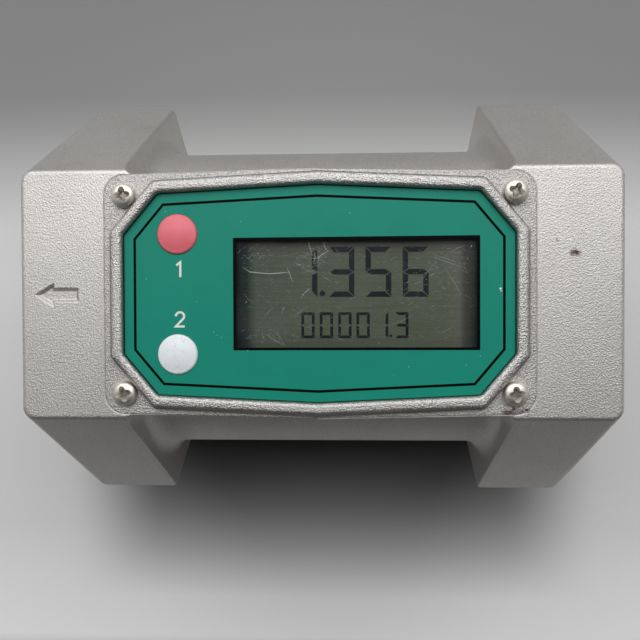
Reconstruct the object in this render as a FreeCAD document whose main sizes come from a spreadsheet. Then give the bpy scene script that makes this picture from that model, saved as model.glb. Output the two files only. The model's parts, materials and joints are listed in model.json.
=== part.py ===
import FreeCAD, Part
import math
import os

import Sketcher
from FreeCAD import Placement, Rotation, Vector

# Digital turbine flow meter: a cast body with hexagonal ends, a screwed-on display cover, and a
# turbine that spins in the flow bore.  Millimetres.  X is the flow axis with the inlet at +X, the
# display faces +Z, and the back flats of both hexagons lie on Z = 0.

SIZES = {
    # Cast body
    "body_length": 101.6,
    "across_flats": 73.0,
    "end_length": 17.6,
    "hexagon_round": 3.6,
    "end_corner_round": 2.2,
    "face_edge_round": 0.9,
    "inner_edge_round": 0.6,
    "waist_radius": 30.9,
    "waist_blend": 3.6,
    "pedestal_blend_margin": 1.6,
    "pedestal_inset": 0.3,
    # Flow arrow sunk into the outlet end, between the end face and the cover
    "arrow_inset": 2.5,
    "arrow_cover_gap": 4.4,
    "arrow_head_share": 0.45,
    "arrow_head_width": 4.2,
    "arrow_shaft_width": 2.4,
    "arrow_depth": 0.5,
    "arrow_wall_angle": 42.0,
    # Flow bore; the wall is what stays between the ring grooves and the electronics cavity
    "port_radius": 28.3,
    "port_depth": 18.0,
    "port_mouth": 1.8,
    "bore_wall": 1.4,
    "seat_lip": 3.5,
    # Display cover
    "cover_corner": 3.5,
    "cover_peak": 0.7,
    "cover_clearance": 0.1,
    "flange_thickness": 2.0,
    "cover_wall": 1.0,
    "rim_width": 2.3,
    "rim_slant_width": 2.1,
    "rim_height": 1.6,
    "rim_outer_round": 1.0,
    "rim_inner_round": 0.8,
    "rim_corner_round": 1.2,
    "rim_side_margin": 1.2,
    "rim_peak_margin": 0.4,
    "rim_screw_gap": 0.12,
    # Label inside the rim
    "label_slant_angle": 40.0,
    "label_top_angle": 2.77,
    "label_thickness": 0.25,
    "label_clearance": 0.1,
    "label_floor_rise": 0.2,
    # Electronics cavity and gasket
    "cavity_corner": 3.0,
    "cell_clearance": 0.5,
    "gasket_inset": 0.5,
    "gasket_width": 1.2,
    "gasket_depth": 1.0,
    # Display
    "window_x": 6.35,
    "window_length": 40.2,
    "window_height": 18.0,
    "window_step": 0.2,
    "lens_margin": 1.0,
    "lens_thickness": 0.6,
    "lens_clearance": 0.1,
    "lcd_length": 43.0,
    "lcd_width": 21.4,
    "lcd_thickness": 2.2,
    "lcd_gap": 0.3,
    "lcd_frame_wall": 0.8,
    "lcd_frame_lip": 0.6,
    "lcd_frame_cap": 0.2,
    "lcd_clearance": 0.1,
    "connector_height": 2.0,
    "connector_width": 2.0,
    "connector_inset": 0.6,
    # Circuit board
    "board_margin": 0.25,
    "board_edge": 1.8,
    "board_clearance": 0.5,
    "board_corner": 2.6,
    "board_thickness": 1.0,
    "post_gap": 0.9,
    "post_end_margin": 2.7,
    "post_button_gap": 1.0,
    "post_radius": 1.7,
    "post_hole_depth": 3.6,
    "chip_length": 8.0,
    "chip_height": 1.2,
    # Push buttons and their switches
    "button_display_gap": 3.45,
    "button_pitch_y": 20.2,
    "button_radius": 3.4,
    "button_clearance": 0.15,
    "button_height": 0.85,
    "button_edge_round": 0.5,
    "button_flange_lip": 0.7,
    "button_flange_height": 0.7,
    "button_flange_gap": 0.2,
    "button_travel": 0.6,
    "button_foot_radius": 1.4,
    "button_foot_height": 0.2,
    "switch_length": 6.0,
    "switch_height": 2.5,
    "switch_floor": 0.5,
    "plunger_radius": 1.5,
    "plunger_clearance": 0.1,
    # Coin cell on the underside of the board
    "cell_pickup_gap": 0.7,
    "cell_radius": 10.0,
    "cell_thickness": 3.2,
    "cell_rim": 0.5,
    "holder_wall": 1.3,
    "holder_floor": 0.5,
    "holder_depth": 2.5,
    "holder_clearance": 0.2,
    "clip_width": 5.0,
    "clip_thickness": 0.3,
    # Pickup coil above the turbine
    "pickup_radius": 2.5,
    "pickup_length": 5.0,
    "pickup_flange": 0.6,
    "pickup_winding_radius": 2.1,
    "pickup_clearance": 0.1,
    "pickup_wall": 1.4,
    "lead_radius": 0.3,
    "lead_pitch": 2.4,
    # Screws
    "cover_screw_margin": 1.5,
    "cover_screw_rise": 0.2,
    "cover_screw_radius": 1.0,
    "cover_screw_head_radius": 2.1,
    "cover_screw_head_height": 1.5,
    "cover_screw_length": 7.0,
    "board_screw_radius": 0.8,
    "board_screw_head_radius": 1.6,
    "board_screw_head_height": 1.1,
    "board_screw_length": 4.2,
    "screw_head_edge_share": 0.45,
    "screw_head_crown_share": 0.6,
    "screw_clearance": 0.2,
    "screw_tip_gap": 0.5,
    # Turbine supports
    "support_length": 8.0,
    "support_clearance": 0.05,
    "support_ring_wall": 1.8,
    "support_hub_radius": 6.0,
    "support_nose_radius": 2.6,
    "support_nose_gap": 0.4,
    "vane_thickness": 1.6,
    "vane_count": 5,
    "bearing_radius": 3.0,
    "bearing_length": 5.0,
    "bearing_fit": 0.03,
    "shaft_overrun": 1.0,
    "shaft_end_gap": 0.6,
    "shaft_well_clearance": 0.2,
    "ring_thickness": 1.2,
    "ring_radial_width": 2.6,
    "ring_groove_depth": 1.0,
    "ring_clearance": 0.1,
    "ring_gap_angle": 50.0,
    "ring_lug_radius": 2.2,
    "ring_lug_hole": 0.9,
    # Turbine
    "shaft_radius": 1.5,
    "shaft_chamfer": 0.3,
    "rotor_hub_radius": 7.0,
    "rotor_hub_length": 16.0,
    "rotor_hub_chamfer": 1.0,
    "blade_count": 8,
    "blade_length": 12.0,
    "blade_thickness": 1.5,
    "blade_root_angle": 14.0,
    "blade_tip_angle": 36.0,
    "blade_tip_gap": 0.7,
    "magnet_radius": 1.6,
    "magnet_length": 3.0,
    "magnet_boss_wall": 0.9,
    "magnet_sink": 0.1,
    "washer_thickness": 0.5,
    "washer_radius": 2.8,
    "washer_gap": 0.4,
}


class Size:
    """A number together with the spreadsheet formula that gives it."""

    def __init__(self, value, formula):
        self.value = value
        self.formula = formula

    def __add__(self, other):
        other = as_size(other)
        return Size(self.value + other.value, f"({self.formula} + {other.formula})")

    def __radd__(self, other):
        return as_size(other) + self

    def __sub__(self, other):
        other = as_size(other)
        return Size(self.value - other.value, f"({self.formula} - {other.formula})")

    def __rsub__(self, other):
        return as_size(other) - self

    def __mul__(self, other):
        other = as_size(other)
        return Size(self.value * other.value, f"({self.formula} * {other.formula})")

    def __rmul__(self, other):
        return as_size(other) * self

    def __truediv__(self, other):
        other = as_size(other)
        return Size(self.value / other.value, f"({self.formula} / {other.formula})")

    def __neg__(self):
        return Size(-self.value, f"(-1 * {self.formula})")


class Sheet:
    """Gives every named size of the spreadsheet as a Size."""

    def __getattr__(self, name):
        return Size(SIZES[name], f"sizes.{name}")


class Arc:
    """The run from one corner of an outline to the next as an arc instead of a line."""

    def __init__(self, radius, hollow=False, major=False):
        self.radius = as_size(radius)
        self.hollow = hollow
        self.major = major


def as_size(number):
    if isinstance(number, Size):
        return number
    return Size(number, f"({number})")


def root(number):
    return Size(math.sqrt(number.value), f"sqrt({number.formula})")


def larger(first, second):
    return Size(max(first.value, second.value), f"max({first.formula}; {second.formula})")


def sine(angle):
    angle = as_size(angle)
    return Size(math.sin(math.radians(angle.value)), f"sin({angle.formula} * 1 deg)")


def cosine(angle):
    angle = as_size(angle)
    return Size(math.cos(math.radians(angle.value)), f"cos({angle.formula} * 1 deg)")


def crossing(first, second):
    """Corner where two edges meet; an edge is its distance from the centre and its normal angle."""
    first_reach, first_angle = first
    second_reach, second_angle = second
    turn = sine(as_size(second_angle) - as_size(first_angle))
    across = (first_reach * sine(second_angle) - second_reach * sine(first_angle)) / turn
    up = (second_reach * cosine(first_angle) - first_reach * cosine(second_angle)) / turn
    return across, up


def write_sheet():
    sheet = doc.addObject("Spreadsheet::Sheet", "sizes")
    for row, (name, value) in enumerate(SIZES.items(), start=1):
        sheet.set(f"A{row}", name)
        sheet.set(f"B{row}", str(value))
        sheet.setAlias(f"B{row}", name)
    doc.recompute()


def bind(item, attribute, size):
    item.setExpression(attribute, as_size(size).formula)


def put_at(item, x=0, y=0, z=0):
    """Places an object; the three distances stay tied to the sheet."""
    for axis, distance in zip("xyz", (x, y, z)):
        bind(item, f"Placement.Base.{axis}", distance)


def new_body(label):
    body = doc.addObject("PartDesign::Body", label)
    body.Label = label
    return body


def origin_item(body, role):
    for item in body.Origin.OriginFeatures:
        if item.Role == role:
            return item
    raise LookupError(role)


def new_sketch(body, name, plane, normal=0, across=0, up=0):
    """Sketch on an origin plane, shifted along its normal and within the plane."""
    sketch = body.newObject("Sketcher::SketchObject", f"{body.Name}_{name}")
    sketch.AttachmentSupport = [(origin_item(body, plane), "")]
    sketch.MapMode = "FlatFace"
    for axis, distance in zip("xyz", (across, up, normal)):
        bind(sketch, f"AttachmentOffset.Base.{axis}", distance)
    return sketch


def hold(sketch, geometry, point, across, up):
    """Fixes a point of a sketch by its distances from the sketch origin."""
    for kind, axis, distance in (("DistanceX", -2, across), ("DistanceY", -1, up)):
        distance = as_size(distance)
        if distance.value == 0:
            sketch.addConstraint(Sketcher.Constraint("PointOnObject", geometry, point, axis))
            continue
        limit = Sketcher.Constraint(kind, -1, 1, geometry, point, distance.value)
        index = sketch.addConstraint(limit)
        sketch.setExpression(f"Constraints[{index}]", distance.formula)


def hold_radius(sketch, geometry, radius):
    index = sketch.addConstraint(Sketcher.Constraint("Radius", geometry, radius.value))
    sketch.setExpression(f"Constraints[{index}]", radius.formula)


def flat_point(corner):
    return Vector(as_size(corner[0]).value, as_size(corner[1]).value, 0)


def arc_between(start, finish, arc):
    """Arc through two points, turning left unless it is hollow."""
    if arc.hollow:
        start, finish = finish, start
    chord = finish - start
    radius = arc.radius.value
    rise = math.sqrt(radius**2 - chord.Length**2 / 4)
    left = Vector(-chord.y, chord.x, 0).normalize()
    centre = (start + finish) / 2 + left * (-rise if arc.major else rise)
    first = math.atan2(start.y - centre.y, start.x - centre.x)
    last = math.atan2(finish.y - centre.y, finish.x - centre.x)
    if last < first:
        last += 2 * math.pi
    return Part.ArcOfCircle(Part.Circle(centre, Vector(0, 0, 1), radius), first, last)


def draw_outline(sketch, corners):
    """Closed outline, drawn anticlockwise.  A corner is (across, up), or (across, up, Arc)."""
    runs = []
    for index, corner in enumerate(corners):
        start = flat_point(corner)
        finish = flat_point(corners[(index + 1) % len(corners)])
        if len(corner) == 2:
            runs.append((sketch.addGeometry(Part.LineSegment(start, finish)), 1, 2))
            continue
        arc = corner[2]
        geometry = sketch.addGeometry(arc_between(start, finish, arc))
        runs.append((geometry, 2, 1) if arc.hollow else (geometry, 1, 2))
    for index, (geometry, _, end) in enumerate(runs):
        following, begin, _ = runs[(index + 1) % len(runs)]
        sketch.addConstraint(Sketcher.Constraint("Coincident", geometry, end, following, begin))
    for (geometry, begin, _), corner in zip(runs, corners):
        hold(sketch, geometry, begin, corner[0], corner[1])
        if len(corner) == 3:
            hold_radius(sketch, geometry, corner[2].radius)


def draw_rectangle(sketch, left, right, bottom, top):
    draw_outline(sketch, [(left, bottom), (right, bottom), (right, top), (left, top)])


def draw_rounded(sketch, half_length, half_width, radius, x=0):
    """Rectangle with round corners, centred on y = 0."""
    left = x - half_length
    right = x + half_length
    arc = Arc(radius)
    draw_outline(sketch, [
        (right, radius - half_width),
        (right, half_width - radius, arc),
        (right - radius, half_width),
        (left + radius, half_width, arc),
        (left, half_width - radius),
        (left, radius - half_width, arc),
        (left + radius, -half_width),
        (right - radius, -half_width, arc),
    ])


def draw_circle(sketch, across, up, radius):
    centre = flat_point((across, up))
    radius = as_size(radius)
    geometry = sketch.addGeometry(Part.Circle(centre, Vector(0, 0, 1), radius.value))
    hold(sketch, geometry, 3, across, up)
    hold_radius(sketch, geometry, radius)


def add_feature(body, kind, sketch, length, reverse=False, both_ways=False):
    feature = body.newObject(f"PartDesign::{kind}", f"{sketch.Name}_{kind.lower()}")
    feature.Profile = sketch
    bind(feature, "Length", length)
    feature.Reversed = reverse
    if both_ways:
        feature.SideType = "Symmetric"
    body.Tip = feature
    return feature


def pad(body, sketch, length, **options):
    return add_feature(body, "Pad", sketch, length, **options)


def pocket(body, sketch, depth, **options):
    return add_feature(body, "Pocket", sketch, depth, **options)


def spin(body, sketch, axis, kind="Revolution"):
    """Turns a sketch about one of its own axes, adding material or taking it away."""
    feature = body.newObject(f"PartDesign::{kind}", f"{sketch.Name}_{kind.lower()}")
    feature.Profile = sketch
    feature.ReferenceAxis = (sketch, [axis])
    feature.Angle = 360
    body.Tip = feature
    return feature


def polar(body, original, count):
    """Repeats a feature about the body's X axis."""
    feature = body.newObject("PartDesign::PolarPattern", f"{original.Name}_polar")
    feature.Originals = [original]
    feature.Axis = (origin_item(body, "X_Axis"), [""])
    feature.Angle = 360
    bind(feature, "Occurrences", count)
    body.Tip = feature
    return feature


def round_edges(body, name, radius, wanted):
    """Fillets the edges of the body's last feature that pass the test."""
    doc.recompute()
    base = body.Tip
    edges = [f"Edge{index}" for index, edge in enumerate(base.Shape.Edges, start=1) if wanted(edge)]
    feature = body.newObject("PartDesign::Fillet", f"{body.Name}_{name}")
    feature.Base = (base, edges)
    bind(feature, "Radius", radius)
    body.Tip = feature


def near(first, second, slack=1e-4):
    return abs(first - second) < slack


def edge_span(edge, axis):
    """Lowest and highest coordinate of an edge along one axis."""
    box = edge.BoundBox
    return {
        "x": (box.XMin, box.XMax),
        "y": (box.YMin, box.YMax),
        "z": (box.ZMin, box.ZMax),
    }[axis]


def lies_at(edge, axis, level):
    low, high = edge_span(edge, axis)
    return near(low, level, 1e-3) and near(high, level, 1e-3)


def make_box(name, x, y, bottom, length, width, height):
    """Block centred on x and y that stands on the given level."""
    box = doc.addObject("Part::Box", name)
    box.Label = name
    bind(box, "Length", length)
    bind(box, "Width", width)
    bind(box, "Height", height)
    put_at(box, x - as_size(length) / 2, y - as_size(width) / 2, bottom)
    return box


def make_rod(name, x, y, bottom, radius, height):
    """Upright cylinder that stands on the given level."""
    rod = doc.addObject("Part::Cylinder", name)
    rod.Label = name
    bind(rod, "Radius", radius)
    bind(rod, "Height", height)
    put_at(rod, x, y, bottom)
    return rod


def make_group(name, members):
    group = doc.addObject("Part::Compound", name)
    group.Label = name
    group.Links = members
    return group


dim = Sheet()
doc = FreeCAD.newDocument("flow_meter")
write_sheet()

# Levels, from the back flats up to the rim
flow_axis = dim.across_flats / 2
front = dim.across_flats
seat = front - dim.flange_thickness
label_floor = front + dim.label_floor_rise
ceiling = label_floor - dim.cover_wall
rim_top = front + dim.rim_height
label_face = label_floor + dim.label_thickness
lcd_top = ceiling - dim.lcd_gap
lcd_bottom = lcd_top - dim.lcd_thickness
board_top = lcd_bottom - dim.connector_height
board_bottom = board_top - dim.board_thickness
cell_top = board_bottom - dim.holder_floor
cell_bottom = cell_top - dim.cell_thickness
cavity_floor = cell_bottom - dim.cell_clearance
flange_bottom = ceiling - dim.button_flange_gap - dim.button_flange_height
plunger_top = flange_bottom - dim.button_foot_height

# Radii of the flow bore, which stays clear of the electronics cavity
ring_groove_radius = cavity_floor - dim.bore_wall - flow_axis
seat_radius = ring_groove_radius - dim.ring_groove_depth
chamber_radius = seat_radius - dim.support_ring_wall
blade_tip_radius = chamber_radius - dim.blade_tip_gap
pickup_bottom = flow_axis + chamber_radius + dim.pickup_wall + dim.pickup_clearance

# Stations along the flow axis, measured from the middle
body_end = dim.body_length / 2
end_inner = body_end - dim.end_length
port_inner = body_end - dim.port_depth
ring_end = port_inner - dim.seat_lip
support_end = ring_end - dim.ring_thickness - dim.ring_clearance
chamber_end = support_end - dim.support_length
nose_tip = port_inner - dim.support_nose_gap
rotor_end = dim.rotor_hub_length / 2
washer_end = rotor_end + dim.washer_thickness
hub_start = washer_end + dim.washer_gap
bearing_end = hub_start + dim.bearing_length
shaft_end = bearing_end + dim.shaft_overrun

# Electronics in the plane of the cover: display, cell and buttons set how long the board is
button_flange_radius = dim.button_radius + dim.button_flange_lip
lcd_frame_half_length = dim.lcd_length / 2 + dim.lcd_clearance + dim.lcd_frame_wall
lcd_frame_half_width = dim.lcd_width / 2 + dim.lcd_clearance + dim.lcd_frame_wall
holder_outer = dim.cell_radius + dim.holder_clearance + dim.holder_wall
clip_outer = holder_outer + dim.holder_clearance + dim.clip_thickness
cell_x = dim.pickup_radius + dim.cell_pickup_gap + clip_outer
button_x = dim.window_x - lcd_frame_half_length - dim.button_display_gap - button_flange_radius
button_y = dim.button_pitch_y / 2
inner_end = larger(dim.window_x + lcd_frame_half_length, cell_x + clip_outer)
inner_end = larger(inner_end, button_flange_radius - button_x)
board_half_length = inner_end + dim.board_margin
post_left_x = button_x + button_flange_radius + dim.post_button_gap + dim.post_radius
post_right_x = board_half_length - dim.post_end_margin
post_y = lcd_frame_half_width + dim.post_gap + dim.post_radius
board_half_width = post_y + dim.board_edge
cavity_half_length = board_half_length + dim.board_clearance
cavity_half_width = board_half_width + dim.board_clearance

# Cover, screws, rim and label round the cavity
gasket_reach = dim.gasket_inset + dim.gasket_width
screw_x = cavity_half_length + gasket_reach + dim.cover_screw_margin
screw_y = cavity_half_width + dim.cover_screw_rise
cover_side = screw_x + dim.cover_corner
cover_half = screw_y + dim.cover_corner
pedestal_half = cover_half - dim.pedestal_inset
label_side = cover_side - dim.rim_side_margin - dim.rim_width
label_peak = cover_half + dim.cover_peak - dim.rim_peak_margin - dim.rim_width
label_top = label_peak * cosine(dim.label_top_angle)
screw_reach = screw_x * cosine(dim.label_slant_angle) + screw_y * sine(dim.label_slant_angle)
label_slant = screw_reach - dim.cover_screw_head_radius - dim.rim_screw_gap
label_slant = label_slant - dim.rim_slant_width
cover_screw_places = [(sx * screw_x, sy * screw_y) for sx in (-1, 1) for sy in (-1, 1)]
post_places = [(x, sy * post_y) for x in (post_left_x, post_right_x) for sy in (-1, 1)]
button_places = {"calibrate": (button_x, button_y), "display": (button_x, -button_y)}


def draw_cover_outline(sketch, grow):
    """Cover edge: corners concentric with the screws, long edges rising slightly to the middle."""
    arc = Arc(dim.cover_corner + grow)
    side = cover_side + grow
    top = cover_half + grow
    peak = top + dim.cover_peak
    draw_outline(sketch, [
        (side, -screw_y),
        (side, screw_y, arc),
        (screw_x, top),
        (0, peak),
        (-screw_x, top, arc),
        (-side, screw_y),
        (-side, -screw_y, arc),
        (-screw_x, -top),
        (0, -peak),
        (screw_x, -top, arc),
    ])


def draw_label_outline(sketch, grow, slant_grow):
    """Ten-sided label shape, its edges moved outward; the slanted ones have their own distance."""
    side = label_side + grow
    slant = label_slant + slant_grow
    top = label_top + grow
    slant_x, slant_y = crossing((side, 0), (slant, dim.label_slant_angle))
    top_angle = 90 - dim.label_top_angle
    top_x, top_y = crossing((slant, dim.label_slant_angle), (top, top_angle))
    peak = top / cosine(dim.label_top_angle)
    draw_outline(sketch, [
        (slant_x, -slant_y),
        (slant_x, slant_y),
        (top_x, top_y),
        (0, peak),
        (-top_x, top_y),
        (-slant_x, slant_y),
        (-slant_x, -slant_y),
        (-top_x, -top_y),
        (0, -peak),
        (top_x, -top_y),
    ])


def draw_hexagon(sketch):
    """Regular hexagon; two of its flats are level, and its two side corners are round."""
    half = dim.across_flats / 2
    arc = Arc(dim.hexagon_round)
    half_side = half / root(as_size(3))
    straight = half_side - dim.hexagon_round / root(as_size(3))

    def on_flat(angle, along):
        across = half * cosine(angle) - along * sine(angle)
        return across, flow_axis + half * sine(angle) + along * cosine(angle)

    corners = []
    for turn in (0, 180):
        corners += [
            on_flat(turn + 30, -straight),
            on_flat(turn + 30, half_side),
            on_flat(turn + 150, -half_side),
            on_flat(turn + 150, straight) + (arc,),
        ]
    draw_outline(sketch, corners)


def make_meter_body():
    """Casting: round waist and cover pedestal that flare into two hexagonal ends."""
    body = new_body("meter_body")
    beyond = dim.across_flats
    crown = front + dim.flange_thickness

    waist = new_sketch(body, "waist", "YZ_Plane")
    pedestal_blend = dim.waist_blend + dim.pedestal_blend_margin
    blend_across = pedestal_half + pedestal_blend
    blend_reach = dim.waist_radius + pedestal_blend
    blend_up = root(blend_reach * blend_reach - blend_across * blend_across)
    share = dim.waist_radius / blend_reach
    foot_up = flow_axis + blend_up
    tangent_across = blend_across * share
    tangent_up = flow_axis + blend_up * share
    hollow = Arc(pedestal_blend, hollow=True)
    draw_outline(waist, [
        (pedestal_half, crown),
        (-pedestal_half, crown),
        (-pedestal_half, foot_up, hollow),
        (-tangent_across, tangent_up, Arc(dim.waist_radius, major=True)),
        (tangent_across, tangent_up, hollow),
        (pedestal_half, foot_up),
    ])
    pad(body, waist, dim.body_length, both_ways=True)

    for name, side in (("inlet_block", 1), ("outlet_block", -1)):
        block = new_sketch(body, name, "YZ_Plane", normal=side * end_inner)
        draw_rectangle(block, -beyond, beyond, -dim.end_length, crown)
        pad(body, block, dim.end_length, reverse=side < 0)

    def meets_waist(edge):
        if not any(lies_at(edge, "x", side * end_inner.value) for side in (-1, 1)):
            return False
        low, high = edge_span(edge, "z")
        outer = max(abs(reach) for reach in edge_span(edge, "y"))
        return outer < dim.waist_radius.value + 1 and high - low > 0.01

    round_edges(body, "waist_flare", dim.waist_blend, meets_waist)

    hexagon = new_sketch(body, "hexagon", "YZ_Plane")
    draw_rectangle(hexagon, -2 * beyond, 2 * beyond, -beyond, 2 * beyond)
    draw_hexagon(hexagon)
    pocket(body, hexagon, 2 * dim.body_length, both_ways=True)

    def is_steep_end(edge):
        low, high = edge_span(edge, "z")
        at_end = any(lies_at(edge, "x", side * body_end.value) for side in (-1, 1))
        return at_end and high - low > 0.01

    round_edges(body, "end_corners", dim.end_corner_round, is_steep_end)

    def bounds_level_flat(edge):
        level = any(lies_at(edge, "z", height) for height in (0, front.value))
        return level and max(abs(reach) for reach in edge_span(edge, "x")) > end_inner.value + 0.01

    round_edges(body, "face_edges", dim.face_edge_round, bounds_level_flat)

    def bounds_inner_face(edge):
        if not any(lies_at(edge, "x", side * end_inner.value) for side in (-1, 1)):
            return False
        middle = edge.valueAt((edge.FirstParameter + edge.LastParameter) / 2)
        reach = math.hypot(middle.y, middle.z - flow_axis.value)
        return reach > flow_axis.value - 0.01

    round_edges(body, "inner_rounds", dim.inner_edge_round, bounds_inner_face)

    recess = new_sketch(body, "cover_recess", "XY_Plane", normal=front)
    draw_cover_outline(recess, dim.cover_clearance)
    pocket(body, recess, dim.flange_thickness)

    cavity = new_sketch(body, "cavity", "XY_Plane", normal=seat)
    draw_rounded(cavity, cavity_half_length, cavity_half_width, dim.cavity_corner)
    pocket(body, cavity, seat - cavity_floor)

    groove = new_sketch(body, "gasket_groove", "XY_Plane", normal=seat)
    draw_gasket(groove)
    pocket(body, groove, dim.gasket_depth)

    well = new_sketch(body, "pickup_well", "XY_Plane", normal=cavity_floor)
    draw_circle(well, 0, 0, dim.pickup_radius + dim.pickup_clearance)
    pocket(body, well, cavity_floor - pickup_bottom + dim.pickup_clearance)

    taps = new_sketch(body, "screw_taps", "XY_Plane", normal=seat)
    for x, y in cover_screw_places:
        draw_circle(taps, x, y, dim.cover_screw_radius)
    pocket(body, taps, dim.cover_screw_length - dim.flange_thickness + dim.screw_tip_gap)

    bore = new_sketch(body, "flow_bore", "XZ_Plane", up=flow_axis)
    mouth_radius = dim.port_radius + dim.port_mouth
    steps = [
        (body_end, mouth_radius),
        (body_end - dim.port_mouth, dim.port_radius),
        (port_inner, dim.port_radius),
        (port_inner, seat_radius),
        (ring_end, seat_radius),
        (ring_end, ring_groove_radius),
        (support_end, ring_groove_radius),
        (support_end, seat_radius),
        (chamber_end, seat_radius),
        (chamber_end, chamber_radius),
    ]
    mirrored = [(-x, radius) for x, radius in reversed(steps)]
    draw_outline(bore, [(-body_end, 0), (body_end, 0)] + steps + mirrored)
    spin(body, bore, "H_Axis", kind="Groove")

    arrow = new_sketch(body, "flow_arrow", "XY_Plane", normal=front)
    tip = dim.arrow_inset - body_end
    tail = -cover_side - dim.cover_clearance - dim.arrow_cover_gap
    head = tip + (tail - tip) * dim.arrow_head_share
    draw_outline(arrow, [
        (tip, 0),
        (head, -dim.arrow_head_width / 2),
        (head, -dim.arrow_shaft_width / 2),
        (tail, -dim.arrow_shaft_width / 2),
        (tail, dim.arrow_shaft_width / 2),
        (head, dim.arrow_shaft_width / 2),
        (head, dim.arrow_head_width / 2),
    ])
    sunk_arrow = pocket(body, arrow, dim.arrow_depth)
    bind(sunk_arrow, "TaperAngle", -dim.arrow_wall_angle)
    return body


def draw_gasket(sketch):
    """Two rounded rectangles that run round the cavity."""
    for reach in (gasket_reach, dim.gasket_inset):
        draw_rounded(sketch, cavity_half_length + reach, cavity_half_width + reach,
                     dim.cavity_corner + reach)


def make_gasket():
    body = new_body("cover_gasket")
    ring = new_sketch(body, "ring", "XY_Plane", normal=seat - dim.gasket_depth)
    draw_gasket(ring)
    pad(body, ring, dim.gasket_depth)
    return body


def make_front_cover():
    """Cast cover: flange, rounded rim, sunk label floor, display opening and board posts."""
    body = new_body("front_cover")
    flange = new_sketch(body, "flange", "XY_Plane", normal=seat)
    draw_cover_outline(flange, 0)
    pad(body, flange, dim.flange_thickness)

    rim = new_sketch(body, "rim", "XY_Plane", normal=front)
    draw_label_outline(rim, dim.rim_width, dim.rim_slant_width)
    pad(body, rim, dim.rim_height)

    floor = new_sketch(body, "label_floor", "XY_Plane", normal=rim_top)
    draw_label_outline(floor, 0, 0)
    pocket(body, floor, rim_top - label_floor)

    def is_rim_corner(edge):
        low, high = edge_span(edge, "z")
        outer = max(abs(reach) for reach in edge_span(edge, "x"))
        return near(high, rim_top.value, 1e-3) and high - low > 0.5 and outer > 1

    round_edges(body, "rim_corners", dim.rim_corner_round, is_rim_corner)

    def is_outer_top(edge):
        return lies_at(edge, "z", rim_top.value) and away_from_label(edge)

    def is_inner_top(edge):
        return lies_at(edge, "z", rim_top.value) and not away_from_label(edge)

    round_edges(body, "rim_outside", dim.rim_outer_round, is_outer_top)
    round_edges(body, "rim_inside", dim.rim_inner_round, is_inner_top)

    hollow = new_sketch(body, "hollow", "XY_Plane", normal=seat)
    draw_rounded(hollow, cavity_half_length, cavity_half_width, dim.cavity_corner)
    pocket(body, hollow, ceiling - seat, reverse=True)

    lens_seat = new_sketch(body, "lens_seat", "XY_Plane", normal=label_floor)
    draw_window(lens_seat, dim.lens_margin + dim.lens_clearance)
    pocket(body, lens_seat, dim.lens_thickness)

    opening = new_sketch(body, "window", "XY_Plane", normal=label_floor)
    draw_window(opening, dim.window_step)
    pocket(body, opening, dim.cover_wall)

    holes = new_sketch(body, "button_holes", "XY_Plane", normal=label_floor)
    for x, y in button_places.values():
        draw_circle(holes, x, y, dim.button_radius + dim.button_clearance)
    pocket(body, holes, dim.cover_wall)

    screw_holes = new_sketch(body, "screw_holes", "XY_Plane", normal=front)
    for x, y in cover_screw_places:
        draw_circle(screw_holes, x, y, dim.cover_screw_radius + dim.screw_clearance)
    pocket(body, screw_holes, dim.flange_thickness)

    posts = new_sketch(body, "posts", "XY_Plane", normal=ceiling)
    for x, y in post_places:
        draw_circle(posts, x, y, dim.post_radius)
    pad(body, posts, ceiling - board_top, reverse=True)

    post_holes = new_sketch(body, "post_holes", "XY_Plane", normal=board_top)
    for x, y in post_places:
        draw_circle(post_holes, x, y, dim.board_screw_radius)
    pocket(body, post_holes, dim.post_hole_depth, reverse=True)
    return body


def away_from_label(edge):
    """True for an edge on the outer side of the rim."""
    middle = edge.valueAt((edge.FirstParameter + edge.LastParameter) / 2)
    x = abs(middle.x)
    y = abs(middle.y)
    slant = dim.label_slant_angle.value
    top = 90 - dim.label_top_angle.value
    reaches = [(label_side.value, 0), (label_slant.value, slant), (label_top.value, top)]
    beyond = []
    for reach, angle in reaches:
        toward = x * math.cos(math.radians(angle)) + y * math.sin(math.radians(angle))
        beyond.append(toward - reach)
    return max(beyond) > dim.rim_slant_width.value / 4


def draw_window(sketch, margin):
    half_length = dim.window_length / 2 + margin
    half_height = dim.window_height / 2 + margin
    draw_rectangle(sketch, dim.window_x - half_length, dim.window_x + half_length,
                   -half_height, half_height)


def make_face_label():
    """Printed label with openings for the display and both buttons."""
    body = new_body("face_label")
    sheet = new_sketch(body, "sheet", "XY_Plane", normal=label_floor)
    draw_label_outline(sheet, -dim.label_clearance, -dim.label_clearance)
    draw_window(sheet, 0)
    for x, y in button_places.values():
        draw_circle(sheet, x, y, dim.button_radius + dim.button_clearance)
    pad(body, sheet, dim.label_thickness)
    return body


def make_display_window():
    body = new_body("display_window")
    pane = new_sketch(body, "pane", "XY_Plane", normal=label_floor - dim.lens_thickness)
    draw_window(pane, dim.lens_margin)
    pad(body, pane, dim.lens_thickness)
    return body


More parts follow.
